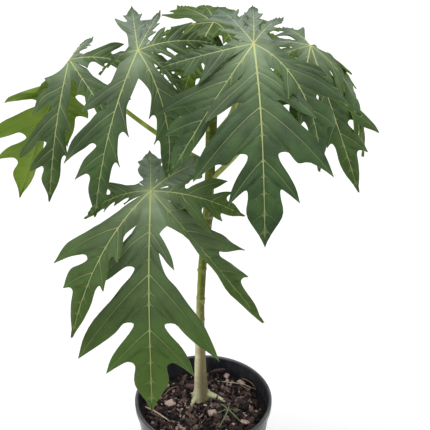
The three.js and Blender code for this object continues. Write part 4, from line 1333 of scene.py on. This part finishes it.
bark_material = mix_finish("bark_chips", BARK_CHIP_STOPS, 0.85)
perlite_material = mix_finish("perlite", PERLITE_STOPS, 0.8)
fraction = 1.0
scatter_crumbs("crumbs", int(3600 * fraction), (1.5, 4.2), (1.2, 3.2), (0.8, 2.2), (-1.8, 1.2), 0.8,
               peat_material, (0.0, 1.0), 31, tilt=0.8)
scatter_crumbs("small_chips", int(1200 * fraction), (4.0, 12), (2.0, 5.5), (1, 2.8), (-0.8, 2.4), 0.3,
               bark_material, (0.0, 0.74), 32, tilt=0.8)
scatter_crumbs("bark_chips", int(230 * fraction), (8, 17), (4.5, 9), (1.8, 4.0), (0.2, 3.0), 0.25,
               bark_material, (0.0, 0.76), 33, tilt=0.55, radius=86)
scatter_crumbs("pale_chips", int(70 * fraction), (3.5, 9), (2.5, 6), (1.5, 3), (1.2, 3.4), 0.3,
               bark_material, (0.78, 1.0), 35, tilt=0.5, radius=86, clear=18)
scatter_crumbs("perlite", 24, (1.4, 2.6), (1.2, 2.4), (1.0, 2.0), (0.6, 2.2), 0.9,
               perlite_material, (0.0, 0.8), 34, radius=86)
print("crumbs scattered")

# %% [markdown]
# ## The chips that stand out
# A few large chips catch the eye, so chance doesn't place them. Each has its own row: across, back, lift over
# the mix, length, width, thickness, turn, lean and tone. One dark chip leans against the back of the pot.

# %% Large chips
LARGE_CHIPS = np.array([
    (-50, 14, 4.0, 17, 12, 5, 0.5, 0.30, 0.98), (13, -9, 3.5, 15, 11, 5, 0.3, 0.20, 0.95),
    (35, 74, 5.5, 11, 8, 4, 1.2, 0.30, 0.90), (57, 60, 5.0, 13, 9, 4, 2.3, 0.25, 0.94),
    (60, -28, 3.5, 14, 10, 4, 2.8, 0.25, 0.93), (22, 78, 11.0, 25, 13, 5, 0.35, -0.75, 0.42),
    (-30, -40, 3.0, 12, 8, 4, 1.9, 0.20, 0.88), (-62, 44, 3.0, 12, 9, 4, 0.2, 0.30, 0.90),
    (2, -62, 3.0, 14, 9, 4, 2.5, 0.20, 0.86)])
across, back, lift, long, wide, thick, turn, lean, tone = LARGE_CHIPS.T
chip_place = np.stack([across, back, mix_height(across, back) + lift], -1)
chip_size = np.stack([long, wide, thick], -1)
lay_blocks("large_chips", chip_place, chip_size, turn, lean, 0.15 * lean, tone, bark_material, 0.45,
           np.random.default_rng(36))
print("large chips:", len(LARGE_CHIPS))

# %% [markdown]
# ## Surface roots
# Two pale roots leave the trunk's foot towards the front and dive into the mix, and two smaller ones go
# backwards. The trunk's own mesh could swell out into them, but its rows are level rings, which would
# stretch. So a root is a limb of its own that starts inside the trunk, and the trunk flares towards it.

# %% Surface roots
ROOTS = [[(-6, 28, 178), (-12, 21, 171), (-17, 13, 167.5), (-19, 5, 164.5)],
         [(-1, 30, 178), (8, 29, 171.5), (19, 26, 168.5), (29, 19, 168), (38, 12, 164)],
         [(-5, 31, 175), (-11, 34, 169), (-20, 38, 165.5)],
         [(-3, 32, 175), (3, 39, 169), (10, 47, 165)]]
ROOT_RADIUS = (6.6, 4.8, 2.7, 0.8)
ROOT_STATIONS = (0, 0.3, 0.65, 1)
ROOT_RINGS = 28
FRONT_ROOTS = 2
BACK_ROOT_SIZE = 0.8


def smooth_path(stops, count):
    """A path through the stops: a cubic curve between two of them that also heeds those before and after."""
    stops = np.array(stops, dtype=float)
    ends = np.concatenate([2 * stops[:1] - stops[1:2], stops, 2 * stops[-1:] - stops[-2:-1]])
    s = np.linspace(0, len(stops) - 1 - 1e-6, count)
    i, t = np.floor(s).astype(int), (s - np.floor(s))[:, None]
    a, b, c, d = ends[i], ends[i + 1], ends[i + 2], ends[i + 3]
    return 0.5 * (2 * b + (c - a) * t + (2 * a - 5 * b + 4 * c - d) * t**2 + (3 * b - a - 3 * c + d) * t**3)


def root_finish():
    """Cream with soil in patches."""
    f = Finish("pale_root")
    soil = f.mottle(110, 0.45, 0.7, detail=4)
    colour = f.mix(f.math("MULTIPLY", soil, 0.30), (0.54, 0.55, 0.33), (0.17, 0.12, 0.08))
    f.grain(400, 0.0008, 0.6)
    return f.paint(colour, 0.7, 0.3)


root_material = root_finish()
for number, stops in enumerate(ROOTS):
    radius = np.interp(np.linspace(0, 1, ROOT_RINGS), ROOT_STATIONS, ROOT_RADIUS)
    radius = radius * (1.0 if number < FRONT_ROOTS else BACK_ROOT_SIZE)
    points, faces = tube(smooth_path(stops, ROOT_RINGS), radius, 16, groove=0.12, seed=number)
    root = make_piece(f"surface_root_{number + 1}", points, faces, root_material, weld=0.01)
    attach(root, "root")
print("surface roots:", len(ROOTS))

# %% [markdown]
# ## Straw, twigs and needles
# A few straws, twigs and green needles lie on the mix. They could be scattered like the crumbs, but each is
# long enough to be seen on its own. So each has a short path, sunk a little at its ends, and rests on the
# crumbs.

# %% Litter
LITTER_RINGS = 20
LITTER_TONE = 0.6
straw_material = mix_finish("straw", [(0.0, (0.34, 0.26, 0.17)), (1.0, (0.66, 0.55, 0.42))], 0.7, 300)
twig_material = mix_finish("twig", [(0.0, (0.10, 0.06, 0.04)), (1.0, (0.30, 0.20, 0.14))], 0.8, 300)
needle_material = mix_finish("needle", [(0.0, (0.050, 0.080, 0.030)), (1.0, (0.200, 0.260, 0.120))], 0.5, 300)
LITTER = [
    ("straw_1", straw_material, 1.2, [(-86, 4, 168.5), (-72, -7, 170), (-60, -18, 170), (-48, -28, 168.5)]),
    ("straw_2", straw_material, 0.6, [(20, 62, 169.5), (40, 58, 170), (60, 54, 169.5), (79, 44, 168)]),
    ("twig_1", twig_material, 1.0, [(58, 70, 168.5), (66, 62, 171), (74, 54, 170.5), (78, 46, 168.5)]),
    ("twig_2", twig_material, 0.9, [(52, 62, 169), (58, 50, 170), (68, 42, 169)]),
    ("twig_3", twig_material, 0.9, [(-60, 30, 168), (-50, 44, 169.5), (-38, 52, 168)]),
    ("needle_1", needle_material, 1.1, [(26, 9, 170), (36, -6, 173), (46, -20, 172), (56, -31, 168.5)]),
    ("needle_2", needle_material, 1.2, [(38, 7, 169), (36, -8, 173), (30, -26, 172.5), (22, -44, 168.5)]),
    ("needle_3", needle_material, 0.8, [(18, -12, 169.5), (34, -8, 173.5), (54, -3, 169)]),
]
taper = np.interp(np.linspace(0, 1, LITTER_RINGS), [0, 0.1, 0.8, 1], [0.7, 1, 0.9, 0.4])
for name, material, thickness, stops in LITTER:
    points, faces = tube(smooth_path(stops, LITTER_RINGS), thickness * taper, 8, groove=0.2, seed=3)
    tone = np.full(len(points), LITTER_TONE)
    litter = make_piece(name, points, faces, material, weld=0.01, values={"tone": tone})
    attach(litter, "root")
print("litter:", len(LITTER), "pieces")

# %% [markdown]
# ## Floor and light
# The picture's background is plain white, so the floor is nearly white and so is the sky. Bright sky alone
# would light every leaf alike, and lamps with an edge would throw hard shadows. Five very wide sun lamps give
# soft ones: the strongest from above, one from behind for the crown, one from each side, and a weak one from
# the front, which opens the shadows under the leaves.

# %% Stage
FLOOR_REACH = 9
SKY_STRENGTH = 0.36

corners = [(x * FLOOR_REACH, y * FLOOR_REACH, 0) for x, y in ((-1, -1), (1, -1), (1, 1), (-1, 1))]
floor_mesh = bpy.data.meshes.new("floor")
floor_mesh.from_pydata(corners, [], [(0, 1, 2, 3)])
floor = bpy.data.objects.new("floor", floor_mesh)
bpy.context.scene.collection.objects.link(floor)
floor_mesh.materials.append(Finish("pale_floor").paint((0.9, 0.9, 0.9), 0.9))

world = bpy.data.worlds.new("studio")
world.use_nodes = True
sky = world.node_tree.nodes["Background"]
sky.inputs["Color"].default_value = (1.0, 1.0, 1.0, 1)
sky.inputs["Strength"].default_value = SKY_STRENGTH
bpy.context.scene.world = world
bpy.context.scene.view_settings.view_transform = "Standard"


def sky_light(name, toward, spread, power):
    """A sun lamp that shines along a direction, with soft edges as wide as the spread in degrees."""
    data = bpy.data.lights.new(name, "SUN")
    data.angle = math.radians(spread)
    data.energy = power
    lamp = bpy.data.objects.new(name, data)
    aim = np.array(toward) / np.linalg.norm(toward)
    lamp.rotation_euler = (math.acos(-aim[2]), 0, math.atan2(aim[0], -aim[1]) + math.pi)
    bpy.context.scene.collection.objects.link(lamp)


sky_light("overhead", (0.10, 0.02, -1.0), 44, 1.35)
sky_light("behind", (-0.08, -0.60, -0.80), 34, 0.9)
sky_light("left", (0.95, 0.30, -0.40), 34, 0.85)
sky_light("right", (-0.90, 0.20, -0.55), 40, 0.70)
sky_light("front", (-0.05, 0.9, -0.60), 50, 0.45)
print("stage ready")
